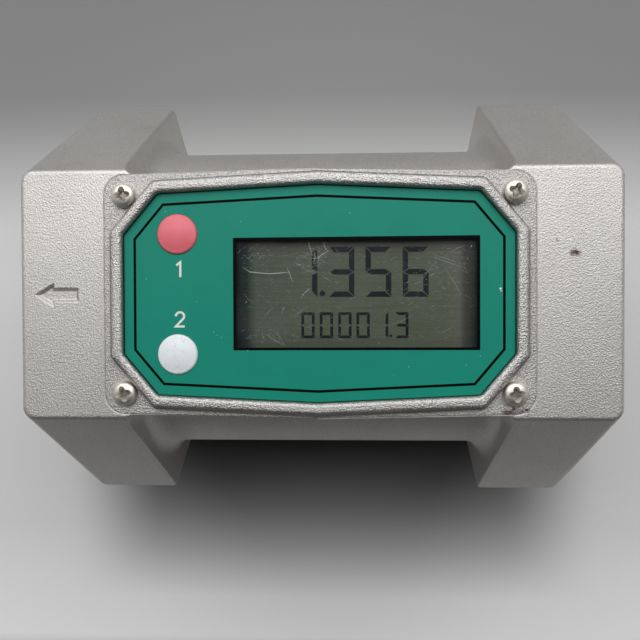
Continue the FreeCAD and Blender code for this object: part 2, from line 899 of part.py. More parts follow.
def make_lcd_frame():
    """Clamp that holds the display glass on its connector strips."""
    body = new_body("lcd_frame")
    half_length = lcd_frame_half_length - dim.lcd_frame_wall
    half_width = lcd_frame_half_width - dim.lcd_frame_wall
    height = lcd_top + dim.lcd_frame_cap - board_top
    block = new_sketch(body, "block", "XY_Plane", normal=board_top)
    draw_rounded(block, lcd_frame_half_length, lcd_frame_half_width, dim.lcd_frame_wall,
                 x=dim.window_x)
    pad(body, block, height)
    room = new_sketch(body, "room", "XY_Plane", normal=board_top)
    draw_rectangle(room, dim.window_x - half_length, dim.window_x + half_length,
                   -half_width, half_width)
    pocket(body, room, lcd_top - board_top, reverse=True)
    view = new_sketch(body, "view", "XY_Plane", normal=lcd_top + dim.lcd_frame_cap)
    view_length = half_length - dim.lcd_frame_lip
    view_width = half_width - dim.lcd_frame_lip
    draw_rectangle(view, dim.window_x - view_length, dim.window_x + view_length,
                   -view_width, view_width)
    pocket(body, view, dim.lcd_frame_cap)
    return body


def make_lcd_connectors():
    """Two elastic strips that carry the display glass and its contacts."""
    y = dim.lcd_width / 2 - dim.connector_inset - dim.connector_width / 2
    length = dim.lcd_length - 2 * dim.connector_inset
    strips = []
    for name, side in (("upper_strip", 1), ("lower_strip", -1)):
        strips.append(make_box(name, dim.window_x, side * y, board_top, length,
                               dim.connector_width, dim.connector_height))
    return make_group("lcd_connectors", strips)


def make_circuit_board():
    body = new_body("circuit_board")
    sheet = new_sketch(body, "sheet", "XY_Plane", normal=board_bottom)
    draw_rounded(sheet, board_half_length, board_half_width, dim.board_corner)
    for x, y in post_places:
        draw_circle(sheet, x, y, dim.board_screw_radius + dim.screw_clearance)
    pad(body, sheet, dim.board_thickness)
    return body


def make_screw(name, radius, head_radius, head_height, length):
    """Pan-head screw pointing down, its head standing on its own origin."""
    body = new_body(name)
    profile = new_sketch(body, "profile", "XZ_Plane")
    draw_outline(profile, [
        (0, -length),
        (radius, -length),
        (radius, 0),
        (head_radius, 0),
        (head_radius, head_height * dim.screw_head_edge_share),
        (head_radius * dim.screw_head_crown_share, head_height),
        (0, head_height),
    ])
    spin(body, profile, "V_Axis")
    return body


def make_cover_screws():
    screws = []
    for index, (x, y) in enumerate(cover_screw_places, start=1):
        screw = make_screw(f"cover_screw_{index}", dim.cover_screw_radius,
                           dim.cover_screw_head_radius, dim.cover_screw_head_height,
                           dim.cover_screw_length)
        put_at(screw, x, y, front)
        screws.append(screw)
    return make_group("cover_screws", screws)


def make_board_screws():
    """Screws that enter the cover's posts from below."""
    screws = []
    for index, (x, y) in enumerate(post_places, start=1):
        screw = make_screw(f"board_screw_{index}", dim.board_screw_radius,
                           dim.board_screw_head_radius, dim.board_screw_head_height,
                           dim.board_screw_length)
        screw.Placement = Placement(Vector(), Rotation(Vector(1, 0, 0), 180))
        put_at(screw, x, y, board_bottom)
        screws.append(screw)
    return make_group("board_screws", screws)


def make_button(name, x, y):
    """Round cap with a retaining flange below the cover and a foot on the switch plunger."""
    body = new_body(name)
    profile = new_sketch(body, "profile", "XZ_Plane")
    foot = -dim.button_foot_height
    flange = dim.button_flange_height
    top = label_face - flange_bottom + dim.button_height
    draw_outline(profile, [
        (0, foot),
        (dim.button_foot_radius, foot),
        (dim.button_foot_radius, 0),
        (button_flange_radius, 0),
        (button_flange_radius, flange),
        (dim.button_radius, flange),
        (dim.button_radius, top),
        (0, top),
    ])
    spin(body, profile, "V_Axis")

    def is_cap_edge(edge):
        return lies_at(edge, "z", top.value)

    round_edges(body, "cap_edge", dim.button_edge_round, is_cap_edge)
    put_at(body, x, y, flange_bottom)
    return body


def make_plunger(name, x, y):
    bottom = board_top + dim.switch_floor + dim.button_travel + dim.plunger_clearance
    return make_rod(name, x, y, bottom, dim.plunger_radius, plunger_top - bottom)


def make_switch_bodies():
    """Two square switch housings, each with a well for its plunger."""
    switches = []
    for name, (x, y) in button_places.items():
        block = make_box(f"{name}_switch_block", x, y, board_top, dim.switch_length,
                         dim.switch_length, dim.switch_height)
        well = make_rod(f"{name}_switch_well", x, y, board_top + dim.switch_floor,
                        dim.plunger_radius + dim.plunger_clearance, dim.switch_height)
        switch = doc.addObject("Part::Cut", f"{name}_switch")
        switch.Base = block
        switch.Tool = well
        switches.append(switch)
    return make_group("switch_bodies", switches)


def make_coin_cell():
    """Cell can with its smaller cap facing the board."""
    body = new_body("coin_cell")
    profile = new_sketch(body, "profile", "XZ_Plane")
    cap_radius = dim.cell_radius - 2 * dim.cell_rim
    draw_outline(profile, [
        (0, 0),
        (dim.cell_radius - dim.cell_rim, 0),
        (dim.cell_radius, dim.cell_rim),
        (dim.cell_radius, dim.cell_thickness - dim.cell_rim),
        (cap_radius, dim.cell_thickness - dim.cell_rim),
        (cap_radius, dim.cell_thickness),
        (0, dim.cell_thickness),
    ])
    spin(body, profile, "V_Axis")
    put_at(body, cell_x, 0, cell_bottom)
    return body


def make_battery_holder():
    body = new_body("battery_holder")
    profile = new_sketch(body, "profile", "XZ_Plane")
    inner = dim.cell_radius + dim.holder_clearance
    draw_outline(profile, [
        (inner, -dim.holder_depth),
        (holder_outer, -dim.holder_depth),
        (holder_outer, dim.holder_floor),
        (0, dim.holder_floor),
        (0, 0),
        (inner, 0),
    ])
    spin(body, profile, "V_Axis")
    put_at(body, cell_x, 0, cell_top)
    return body


def make_battery_clip():
    """Spring strap bent round the cell and holder, soldered to the board."""
    body = new_body("battery_clip")
    profile = new_sketch(body, "profile", "XZ_Plane")
    inner = clip_outer - dim.clip_thickness
    draw_outline(profile, [
        (-clip_outer, cell_bottom - dim.clip_thickness),
        (clip_outer, cell_bottom - dim.clip_thickness),
        (clip_outer, board_bottom),
        (inner, board_bottom),
        (inner, cell_bottom),
        (-inner, cell_bottom),
        (-inner, board_bottom),
        (-clip_outer, board_bottom),
    ])
    pad(body, profile, dim.clip_width, both_ways=True)
    put_at(body, cell_x, 0, 0)
    return body


def make_pickup_coil():
    """Bobbin with end flanges and a winding between them."""
    body = new_body("pickup_coil")
    profile = new_sketch(body, "profile", "XZ_Plane")
    draw_outline(profile, [
        (0, 0),
        (dim.pickup_radius, 0),
        (dim.pickup_radius, dim.pickup_flange),
        (dim.pickup_winding_radius, dim.pickup_flange),
        (dim.pickup_winding_radius, dim.pickup_length - dim.pickup_flange),
        (dim.pickup_radius, dim.pickup_length - dim.pickup_flange),
        (dim.pickup_radius, dim.pickup_length),
        (0, dim.pickup_length),
    ])
    spin(body, profile, "V_Axis")
    put_at(body, 0, 0, pickup_bottom)
    return body


def make_pickup_leads():
    top = pickup_bottom + dim.pickup_length
    leads = []
    for name, side in (("lead_a", -1), ("lead_b", 1)):
        leads.append(make_rod(name, 0, side * dim.lead_pitch / 2, top, dim.lead_radius,
                              board_bottom - top))
    return make_group("pickup_leads", leads)


def on_flow_axis(body, outlet=False):
    """Moves a turbine piece up to the flow axis, turned round for the outlet side."""
    if outlet:
        body.Placement = Placement(Vector(), Rotation(Vector(0, 0, 1), 180))
    put_at(body, 0, 0, flow_axis)


def make_sleeve(name, start, finish, inner, outer, outlet=False):
    """Ring about the flow axis between two stations."""
    body = new_body(name)
    profile = new_sketch(body, "profile", "XZ_Plane")
    draw_rectangle(profile, start, finish, inner, outer)
    spin(body, profile, "H_Axis")
    on_flow_axis(body, outlet)
    return body


def make_support(name, outlet):
    """Flow straightener: hub with a tapered nose, radial vanes and an outer ring."""
    body = new_body(name)
    hub = new_sketch(body, "hub", "XZ_Plane")
    hub_radius = dim.support_hub_radius
    well_radius = dim.shaft_radius + dim.shaft_well_clearance
    well_end = shaft_end + dim.shaft_end_gap
    draw_outline(hub, [
        (hub_start, dim.bearing_radius),
        (bearing_end, dim.bearing_radius),
        (bearing_end, well_radius),
        (well_end, well_radius),
        (well_end, 0),
        (nose_tip, 0),
        (nose_tip, dim.support_nose_radius),
        (support_end, hub_radius),
        (hub_start, hub_radius),
    ])
    spin(body, hub, "H_Axis")

    vane = new_sketch(body, "vane", "XZ_Plane")
    overlap = dim.vane_thickness / 2
    draw_rectangle(vane, chamber_end, support_end, hub_radius - overlap, chamber_radius + overlap)
    polar(body, pad(body, vane, dim.vane_thickness, both_ways=True), dim.vane_count)

    ring = new_sketch(body, "ring", "XZ_Plane")
    draw_rectangle(ring, chamber_end, support_end, chamber_radius,
                   seat_radius - dim.support_clearance)
    spin(body, ring, "H_Axis")
    on_flow_axis(body, outlet)
    return body


def make_retaining_ring(name, outlet):
    """Open spring ring with two plier lugs."""
    body = new_body(name)
    outer = ring_groove_radius - dim.ring_clearance
    inner = outer - dim.ring_radial_width
    half_gap = dim.ring_gap_angle / 2
    sheet = new_sketch(body, "sheet", "YZ_Plane", normal=support_end)
    draw_outline(sheet, [
        (outer * sine(half_gap), -outer * cosine(half_gap), Arc(outer, major=True)),
        (-outer * sine(half_gap), -outer * cosine(half_gap)),
        (-inner * sine(half_gap), -inner * cosine(half_gap), Arc(inner, hollow=True, major=True)),
        (inner * sine(half_gap), -inner * cosine(half_gap)),
    ])
    pad(body, sheet, dim.ring_thickness)
    lugs = new_sketch(body, "lugs", "YZ_Plane", normal=support_end)
    holes = new_sketch(body, "lug_holes", "YZ_Plane", normal=support_end)
    lug_reach = inner + dim.ring_radial_width / 2 - dim.ring_lug_hole
    for side in (-1, 1):
        across = side * lug_reach * sine(half_gap)
        up = -lug_reach * cosine(half_gap)
        draw_circle(lugs, across, up, dim.ring_lug_radius)
        draw_circle(holes, across, up, dim.ring_lug_hole)
    pad(body, lugs, dim.ring_thickness)
    pocket(body, holes, dim.ring_thickness, reverse=True)
    on_flow_axis(body, outlet)
    return body


def make_rotor():
    """Turbine wheel: twisted blades on a hub, two of them carrying magnet bosses at the tip."""
    body = new_body("turbine_rotor")
    hub = new_sketch(body, "hub", "XZ_Plane")
    bevel = dim.rotor_hub_chamfer
    draw_outline(hub, [
        (-rotor_end, dim.shaft_radius),
        (rotor_end, dim.shaft_radius),
        (rotor_end, dim.rotor_hub_radius - bevel),
        (rotor_end - bevel, dim.rotor_hub_radius),
        (bevel - rotor_end, dim.rotor_hub_radius),
        (-rotor_end, dim.rotor_hub_radius - bevel),
    ])
    spin(body, hub, "H_Axis")

    sections = []
    stations = (
        ("blade_root", dim.rotor_hub_radius - dim.blade_thickness, dim.blade_root_angle),
        ("blade_tip", chamber_radius + dim.blade_tip_gap, dim.blade_tip_angle),
    )
    for name, radius, angle in stations:
        section = new_sketch(body, name, "XY_Plane", normal=radius)
        draw_blade_section(section, angle)
        sections.append(section)
    blade = body.newObject("PartDesign::AdditiveLoft", "turbine_rotor_blade")
    blade.Profile = sections[0]
    blade.Sections = sections[1:]
    body.Tip = blade
    polar(body, blade, dim.blade_count)

    boss = new_sketch(body, "magnet_boss", "XY_Plane", normal=blade_tip_radius + dim.blade_tip_gap)
    draw_circle(boss, 0, 0, dim.magnet_radius + dim.magnet_boss_wall)
    boss_length = dim.magnet_length + dim.magnet_boss_wall + dim.blade_tip_gap
    polar(body, pad(body, boss, boss_length, reverse=True), 2)

    trim = new_sketch(body, "tip_trim", "XZ_Plane")
    draw_rectangle(trim, -rotor_end, rotor_end, blade_tip_radius, seat_radius + rotor_end)
    spin(body, trim, "H_Axis", kind="Groove")

    well = new_sketch(body, "magnet_well", "XY_Plane", normal=blade_tip_radius)
    draw_circle(well, 0, 0, dim.magnet_radius)
    polar(body, pocket(body, well, dim.magnet_length), 2)
    on_flow_axis(body)
    return body


def draw_blade_section(sketch, angle):
    """Thin strip across the flow axis, turned by the blade angle."""
    half_chord = dim.blade_length / (2 * cosine(angle))
    half_thickness = dim.blade_thickness / 2
    corners = []
    for along, across in ((-1, -1), (1, -1), (1, 1), (-1, 1)):
        x = along * half_chord * cosine(angle) - across * half_thickness * sine(angle)
        y = along * half_chord * sine(angle) + across * half_thickness * cosine(angle)
        corners.append((x, y))
    draw_outline(sketch, corners)


def make_rotor_magnets():
    """Two disc magnets set into the blade tips, opposite each other."""
    inner = blade_tip_radius - dim.magnet_length
    outer = blade_tip_radius - dim.magnet_sink
    magnets = []
    for name, bottom in (("upper_magnet", flow_axis + inner), ("lower_magnet", flow_axis - outer)):
        magnets.append(make_rod(name, 0, 0, bottom, dim.magnet_radius, outer - inner))
    return make_group("rotor_magnets", magnets)


def make_rotor_shaft():
    body = new_body("rotor_shaft")
    profile = new_sketch(body, "profile", "XZ_Plane")
    bevel = dim.shaft_chamfer
    draw_outline(profile, [
        (-shaft_end, 0),
        (shaft_end, 0),
        (shaft_end, dim.shaft_radius - bevel),
        (shaft_end - bevel, dim.shaft_radius),
        (bevel - shaft_end, dim.shaft_radius),
        (-shaft_end, dim.shaft_radius - bevel),
    ])
    spin(body, profile, "H_Axis")
    on_flow_axis(body)
    return body


def make_thrust_washers():
    washers = []
    for name, outlet in (("inlet_washer", False), ("outlet_washer", True)):
        washers.append(make_sleeve(name, rotor_end, washer_end, dim.shaft_radius,
                                   dim.washer_radius, outlet))
    return make_group("thrust_washers", washers)


def make_bearing(name, outlet):
    return make_sleeve(name, hub_start, bearing_end, dim.shaft_radius + dim.bearing_fit,
                       dim.bearing_radius, outlet)


nodes = [
    make_meter_body(),
    make_gasket(),
    make_front_cover(),
    make_cover_screws(),
    make_face_label(),
    make_display_window(),
    make_box("lcd_panel", dim.window_x, 0, lcd_bottom, dim.lcd_length, dim.lcd_width,
             dim.lcd_thickness),
    make_lcd_frame(),
    make_lcd_connectors(),
    make_circuit_board(),
    make_board_screws(),
    make_box("controller_chip", dim.window_x, 0, board_top, dim.chip_length, dim.chip_length,
             dim.chip_height),
    make_switch_bodies(),
    make_coin_cell(),
    make_battery_holder(),
    make_battery_clip(),
    make_pickup_coil(),
    make_pickup_leads(),
    make_rotor(),
    make_rotor_magnets(),
    make_rotor_shaft(),
    make_thrust_washers(),
]
for title, (place_x, place_y) in button_places.items():
    nodes.append(make_button(f"{title}_button", place_x, place_y))
    nodes.append(make_plunger(f"{title}_plunger", place_x, place_y))
for title, at_outlet in (("inlet", False), ("outlet", True)):
    nodes.append(make_support(f"{title}_support", at_outlet))
    nodes.append(make_bearing(f"{title}_bearing", at_outlet))
    nodes.append(make_retaining_ring(f"{title}_retaining_ring", at_outlet))

doc.recompute()
for item in doc.Objects:
    if "Invalid" in item.State or "Error" in item.State:
        raise RuntimeError(f"{item.Name} did not build")
os.makedirs("parts", exist_ok=True)
for node in nodes:
    if node.Shape.isNull() or not node.Shape.isValid():
        raise RuntimeError(f"{node.Label} has no valid shape")
    node.Shape.exportStep(f"parts/{node.Label}.step")
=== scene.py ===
import json
import math

import bmesh
import bpy
from bpy.props import FloatProperty, FloatVectorProperty, PointerProperty
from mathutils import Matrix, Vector
from mathutils.geometry import convex_hull_2d

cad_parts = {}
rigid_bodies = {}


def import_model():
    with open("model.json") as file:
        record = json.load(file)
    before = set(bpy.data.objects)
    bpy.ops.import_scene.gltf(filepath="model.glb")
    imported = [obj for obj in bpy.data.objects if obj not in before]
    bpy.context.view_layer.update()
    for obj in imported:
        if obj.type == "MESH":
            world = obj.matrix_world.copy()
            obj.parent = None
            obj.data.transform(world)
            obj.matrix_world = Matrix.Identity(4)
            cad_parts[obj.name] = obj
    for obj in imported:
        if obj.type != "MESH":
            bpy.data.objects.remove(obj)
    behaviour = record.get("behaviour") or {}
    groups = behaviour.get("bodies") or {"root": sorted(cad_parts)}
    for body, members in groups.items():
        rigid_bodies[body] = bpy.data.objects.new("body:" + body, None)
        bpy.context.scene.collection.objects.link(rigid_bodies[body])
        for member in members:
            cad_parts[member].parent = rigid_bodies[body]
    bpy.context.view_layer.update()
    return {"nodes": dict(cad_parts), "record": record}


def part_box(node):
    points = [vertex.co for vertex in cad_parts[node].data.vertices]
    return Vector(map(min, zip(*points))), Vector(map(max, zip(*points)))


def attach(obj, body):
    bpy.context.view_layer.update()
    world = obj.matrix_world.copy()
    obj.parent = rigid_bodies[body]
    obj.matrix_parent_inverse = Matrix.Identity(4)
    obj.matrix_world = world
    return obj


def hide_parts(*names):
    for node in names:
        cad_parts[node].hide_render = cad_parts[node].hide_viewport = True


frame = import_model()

bl_info = {
    "name": "Digital turbine flow meter",
    "version": (1, 0, 0),
    "blender": (4, 5, 0),
    "location": "View3D > Sidebar > Flow meter",
    "description": "Dresses the engineering model of a turbine flow meter for rendering",
    "category": "Object",
}

NODES = frame["nodes"]
MM = 0.001
WELD = 2e-6  # corners of neighbouring CAD triangles closer than this are one point
NEAR = 0.05 * MM  # a point this close to a bore's radius is on the bore
RIM_HEIGHT = 1.6 * MM  # of the cover's rim above its flange
BUTTON_LIP = 0.7 * MM  # from a button's cap to the edge of its flange
PRINT = (-0.01 * MM, 0.02 * MM)  # foot and top of print, from the face that it is on
SCRATCH = (-0.005 * MM, 0.006 * MM)  # foot and top of a scratch, from the pane's face
SHARP = math.radians(32)  # faces that meet at more than this keep a hard edge


# ---- Sizes and colours -------------------------------------------------------------------------

def linear(hex_colour):
    """Linear RGB of an sRGB hex value."""
    channels = [int(hex_colour[i:i + 2], 16) / 255 for i in (1, 3, 5)]
    return [c / 12.92 if c <= 0.04045 else ((c + 0.055) / 1.055) ** 2.4 for c in channels]


def length(name, description, millimetres):
    return FloatProperty(name=name, description=description, default=millimetres * MM,
                         min=0.0, precision=5, unit="LENGTH")


def colour(name, description, hex_colour):
    return FloatVectorProperty(name=name, description=description, default=linear(hex_colour),
                               min=0.0, max=1.0, subtype="COLOR")


class FlowMeterSizes(bpy.types.PropertyGroup):
    grain: length("Blast grain", "Width of one dimple that the blasting beads left", 0.22)
    thread_pitch: length("Thread pitch", "Advance of the pipe thread in one turn", 2.209)
    thread_depth: length("Thread depth", "Height of the pipe thread, crest to root", 1.4)
    recess_span: length("Recess span", "Tip to tip of the cross recess in a screw head", 2.95)
    recess_core: length("Recess core", "From a screw's axis to the notch between two wings", 0.82)
    recess_depth: length("Recess depth", "How far the cross recess goes into the head", 0.9)
    button_crown: length("Button crown", "Height of a button's dome above its rounded edge", 0.45)
    border_inset: length("Border inset", "From the label's edge to its black border line", 1.55)
    border_width: length("Border width", "Width of the label's black border line", 0.44)
    window_border: length("Window border", "Width of the black frame round the window", 0.45)
    digit_height: length("Digit height", "Height of a digit in the upper row", 8.45)
    digit_width: length("Digit width", "Width of a digit in the upper row", 4.35)
    digit_stroke: length("Digit stroke", "Width of one segment in the upper row", 0.92)
    digit_gap: length("Digit gap", "Gap between neighbouring segments", 0.12)
    numeral_height: length("Numeral height", "Height of the white numeral beside a button", 2.6)
    numeral_stroke: length("Numeral stroke", "Line width of the white numerals", 0.36)


class FlowMeterColours(bpy.types.PropertyGroup):
    aluminium: colour("Aluminium", "Blasted casting", "#DAD7D4")
    # Also the colour of the painted shade on the cover's rim and in the screw recesses.
    grime_and_shade: colour("Grime", "Handling dirt in the casting's grain", "#6E6761")
    oil: colour("Oil", "Brown spots on the casting", "#4A2114")
    plating: colour("Plating", "Nickel on the screws", "#F6F1E8")
    label: colour("Label", "Printed film on the front", "#0C8C77")
    red: colour("Red button", "Silicone of the upper button", "#EE7681")
    white: colour("White button", "Silicone of the lower button", "#F1F7FA")
    ink: colour("Ink", "Black print on the label", "#050606")
    paint: colour("Paint", "White print on the label", "#EEF1EC")
    glass: colour("Display glass", "Liquid crystal panel at rest", "#51594C")
    segment: colour("Segment", "Liquid crystal segment that is on", "#03060F")
    floor: colour("Floor", "Paper that the meter lies on", "#E8E8E8")


# ---- Mesh helpers ------------------------------------------------------------------------------

def make_object(name, bm):
    """Object of that name at the origin, made of a bmesh, with round faces shaded smooth."""
    bmesh.ops.recalc_face_normals(bm, faces=bm.faces)
    mesh = bpy.data.meshes.new(name)
    bm.to_mesh(mesh)
    bm.free()
    mesh.shade_smooth()
    mesh.set_sharp_from_angle(angle=SHARP)
    made = bpy.data.objects.new(name, mesh)
    bpy.context.scene.collection.objects.link(made)
    return made


def settle(piece):
    """Makes a piece's modifiers part of its mesh."""
    seen = piece.evaluated_get(bpy.context.evaluated_depsgraph_get())
    piece.data = bpy.data.meshes.new_from_object(seen)
    piece.modifiers.clear()
    return piece


def flats_kept(piece):
    """Shades large faces flat, so that the rounds between them take the whole bend."""
    weigh = piece.modifiers.new("Flats", "WEIGHTED_NORMAL")
    weigh.weight, weigh.keep_sharp = 100, True
    return settle(piece)


def dress(piece, body, slot, finish, *nodes):
    """Gives a finished piece its material and its body, and hides the CAD nodes that it stands
    for.
    """
    piece.data.materials.clear()
    piece.data.materials.append(material(finish))
    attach(piece, body)
    if nodes:
        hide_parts(*nodes)


def merged_copy(node):
    """The welded shape of a CAD node, as a bmesh."""
    bm = bmesh.new()
    source = NODES[node].data
    points = [bm.verts.new(v.co) for v in source.vertices]
    for polygon in source.polygons:
        bm.faces.new([points[i] for i in polygon.vertices])
    bmesh.ops.remove_doubles(bm, verts=bm.verts, dist=WELD)
    return bm


def ring(count, wide, deep, x=0.0, y=0.0):
    """Points round an ellipse, from its half width, half depth and middle."""
    angles = [math.tau * k / count for k in range(count)]
    return [(x + wide * math.cos(a), y + deep * math.sin(a)) for a in angles]


def lathe(bm, profile, centre=(0.0, 0.0), steps=64):
    """Closed solid turned about an upright axis; the profile starts and ends on it."""
    rings = [[bm.verts.new((x, y, height))
              for x, y in ring(steps if radius else 1, radius, radius, *centre)]
             for radius, height in profile]
    for low, high in zip(rings, rings[1:]):
        for k in range(steps):
            corners = (low[k % len(low)], low[(k + 1) % len(low)],
                       high[(k + 1) % len(high)], high[k % len(high)])
            bm.faces.new(list(dict.fromkeys(corners)))


def prism(bm, outline, low, high, top_scale=1.0):
    """Closed upright prism on a flat outline; its top may be scaled about the upright axis."""
    foot = [bm.verts.new((x, y, low)) for x, y in outline]
    top = [bm.verts.new((x * top_scale, y * top_scale, high)) for x, y in outline]
    bm.faces.new(foot[::-1])
    bm.faces.new(top)
    for k in range(len(foot)):
        after = (k + 1) % len(foot)
        bm.faces.new((foot[k], foot[after], top[after], top[k]))


def specks(bm, rows, sides, low, high):
    """Small flat dots, from rows of place and radius in mm."""
    for x, y, radius in rows:
        outline = [(px * MM, py * MM) for px, py in ring(sides, radius, radius, x, y)]
        prism(bm, outline, low, high)


def band(bm, path, width, low, high, closed=False):
    """Closed flat strip along a path, with mitred corners; the width may be one per point."""
    count = len(path)
    widths = width if isinstance(width, list) else [width] * count
    rows = []
    for k, point in enumerate(path):
        runs = []
        if k or closed:
            runs.append((point - path[k - 1]).normalized())
        if k < count - 1 or closed:
            runs.append((path[(k + 1) % count] - point).normalized())
        along = sum(runs, Vector((0.0, 0.0))).normalized()
        across = Vector((-along.y, along.x))
        reach = widths[k] / 2 / max(0.4, across.dot(Vector((-runs[0].y, runs[0].x))))
        left, right = point + across * reach, point - across * reach
        rows.append([bm.verts.new((*left, low)), bm.verts.new((*right, low)),
                     bm.verts.new((*right, high)), bm.verts.new((*left, high))])
    for k in range(count if closed else count - 1):
        row, after = rows[k], rows[(k + 1) % count]
        for c in range(4):
            d = (c + 1) % 4
            bm.faces.new((row[c], row[d], after[d], after[c]))
    if not closed:
        bm.faces.new(rows[0][::-1])
        bm.faces.new(rows[-1])


def inset(outline, distance):
    """Convex outline, counter-clockwise, with every side moved inwards."""
    sides = []
    for k, point in enumerate(outline):
        along = (outline[(k + 1) % len(outline)] - point).normalized()
        inward = Vector((-along.y, along.x))
        sides.append((point + inward * distance, along))
    moved = []
    for k, (point, along) in enumerate(sides):
        before, run = sides[k - 1]
        step = (point - before).cross(along) / run.cross(along)
        moved.append(before + run * step)
    return moved


def rectangle(low, high, margin=0.0):
    """Counter-clockwise corners of a box seen from above, drawn in by a margin."""
    return [Vector((low.x + margin, low.y + margin)), Vector((high.x - margin, low.y + margin)),
            Vector((high.x - margin, high.y - margin)), Vector((low.x + margin, high.y - margin))]


def outline_of(points):
    """Convex outline, counter-clockwise, of mesh points seen from above."""
    corners = sorted({(round(p.co.x, 6), round(p.co.y, 6)) for p in points})
    return [Vector(corners[k]) for k in convex_hull_2d(corners)]


def middle(node):
    """Centre of a CAD node's box, seen from above."""
    low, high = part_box(node)
    return Vector(((low.x + high.x) / 2, (low.y + high.y) / 2))


# ---- Node helpers ------------------------------------------------------------------------------

def shade(rgb, factor=1.0):
    """A colour for a socket, brighter or darker by a factor."""
    return (rgb[0] * factor, rgb[1] * factor, rgb[2] * factor, 1.0)


def wire(tree, node, inputs):
    """Sets a node's inputs, by name or in order, to values, or links them to nodes or outputs."""
    for key, value in inputs.items() if isinstance(inputs, dict) else enumerate(inputs):
        socket = node.inputs[key] if isinstance(key, int) else next(
            s for s in node.inputs if s.name == key and s.enabled)
        if isinstance(value, bpy.types.Node):
            value = next(s for s in value.outputs if s.enabled)
        if isinstance(value, bpy.types.NodeSocket):
            tree.links.new(value, socket)
        else:
            socket.default_value = value
    return node


def add(tree, kind, inputs=(), stops=(), **settings):
    """A node of a kind and operation, its settings, inputs and, on a colour ramp, its stops."""
    kind, *operation = kind.split()
    node = tree.nodes.new(kind if "Node" in kind else "ShaderNode" + kind)
    for name, value in [*settings.items(), *(("operation", o) for o in operation)]:
        setattr(node, name, value)
    if stops:
        elements = node.color_ramp.elements
        while len(elements) < len(stops):
            elements.new(1.0)
        for element, (position, tone) in zip(elements, stops):
            element.position = position
            element.color = shade((tone,) * 3 if isinstance(tone, float) else tone)
    return wire(tree, node, inputs)


def seen_directly(tree):
    """One for rays from the camera and for those that metal and glass send on, else nought."""
    path = add(tree, "LightPath").outputs
    most = path["Is Camera Ray"]
    for ray in ("Is Glossy Ray", "Is Transmission Ray"):
        most = add(tree, "Math MAXIMUM", (most, path[ray]))
    return most


def moulded(tree, shader, place, rgb, cloud, grain, depth, rough, spread):
    """A moulded or printed skin: colour clouds, a grain and its depth (in mm), uneven gloss."""
    clouds = add(tree, "TexNoise", {"Vector": place, "Scale": 1 / (cloud * MM), "Detail": 4.0})
    tint = add(tree, "ValToRGB", (clouds,), [(0.3, shade(rgb, 1 - spread)), (0.7, rgb)])
    fine = add(tree, "TexNoise", {"Vector": place, "Scale": 1 / (grain * MM), "Detail": 2.0})
    gloss = add(tree, "MapRange", (fine, 0.3, 0.7, *rough))
    bump = add(tree, "Bump", {"Height": fine, "Distance": depth * MM})
    wire(tree, shader, {"Base Color": tint, "Roughness": gloss, "Normal": bump})
    return tint


def striped(tree, shader, place, axis, width, depth, stops, **more):
    """Ridges across one axis, their width and depth in mm, coloured from the grooves up."""
    ridges = add(tree, "TexWave", {"Vector": place, "Scale": 1 / (width * MM), **more},
                 bands_direction=axis).outputs["Fac"]
    tint = add(tree, "ValToRGB", (ridges,), stops)
    bump = add(tree, "Bump", {"Height": ridges, "Distance": depth * MM})
    wire(tree, shader, {"Base Color": tint, "Normal": bump})
    return ridges


RECIPES = {}


def finish(build):
    """Keeps a function as the recipe of the material that has its name."""
    RECIPES[build.__name__] = build
    return build


def material(name):
    """The material of that name on one Principled shader: its moulded skin, then its recipe."""
    made = bpy.data.materials.get(name)
    if made is None:
        made = bpy.data.materials.new(name)
        made.use_nodes = True
        tree = made.node_tree
        shader = tree.nodes["Principled BSDF"]
        place = add(tree, "TexCoord").outputs["Object"]
        colours = bpy.context.scene.flow_meter_colours
        tint = None
        if name in MOULDED:
            paint, *skin, fixed = MOULDED[name]
            rgb = linear(paint) if paint.startswith("#") else getattr(colours, paint)
            tint = moulded(tree, shader, place, rgb, *skin)
            wire(tree, shader, fixed)
        if name in RECIPES:
            RECIPES[name](tree, shader, place, colours, tint)
    return made


# ---- Finishes ----------------------------------------------------------------------------------

# A MapRange takes its value, the range that it comes from and the range that it goes to.

METAL = {"Metallic": 1.0}
DULL = {"Specular IOR Level": 0.15}
SOFT = {"Subsurface Weight": 0.15, "Subsurface Scale": 0.5 * MM}
WAXY = {"Subsurface Weight": 0.1, "Subsurface Scale": 0.8 * MM}

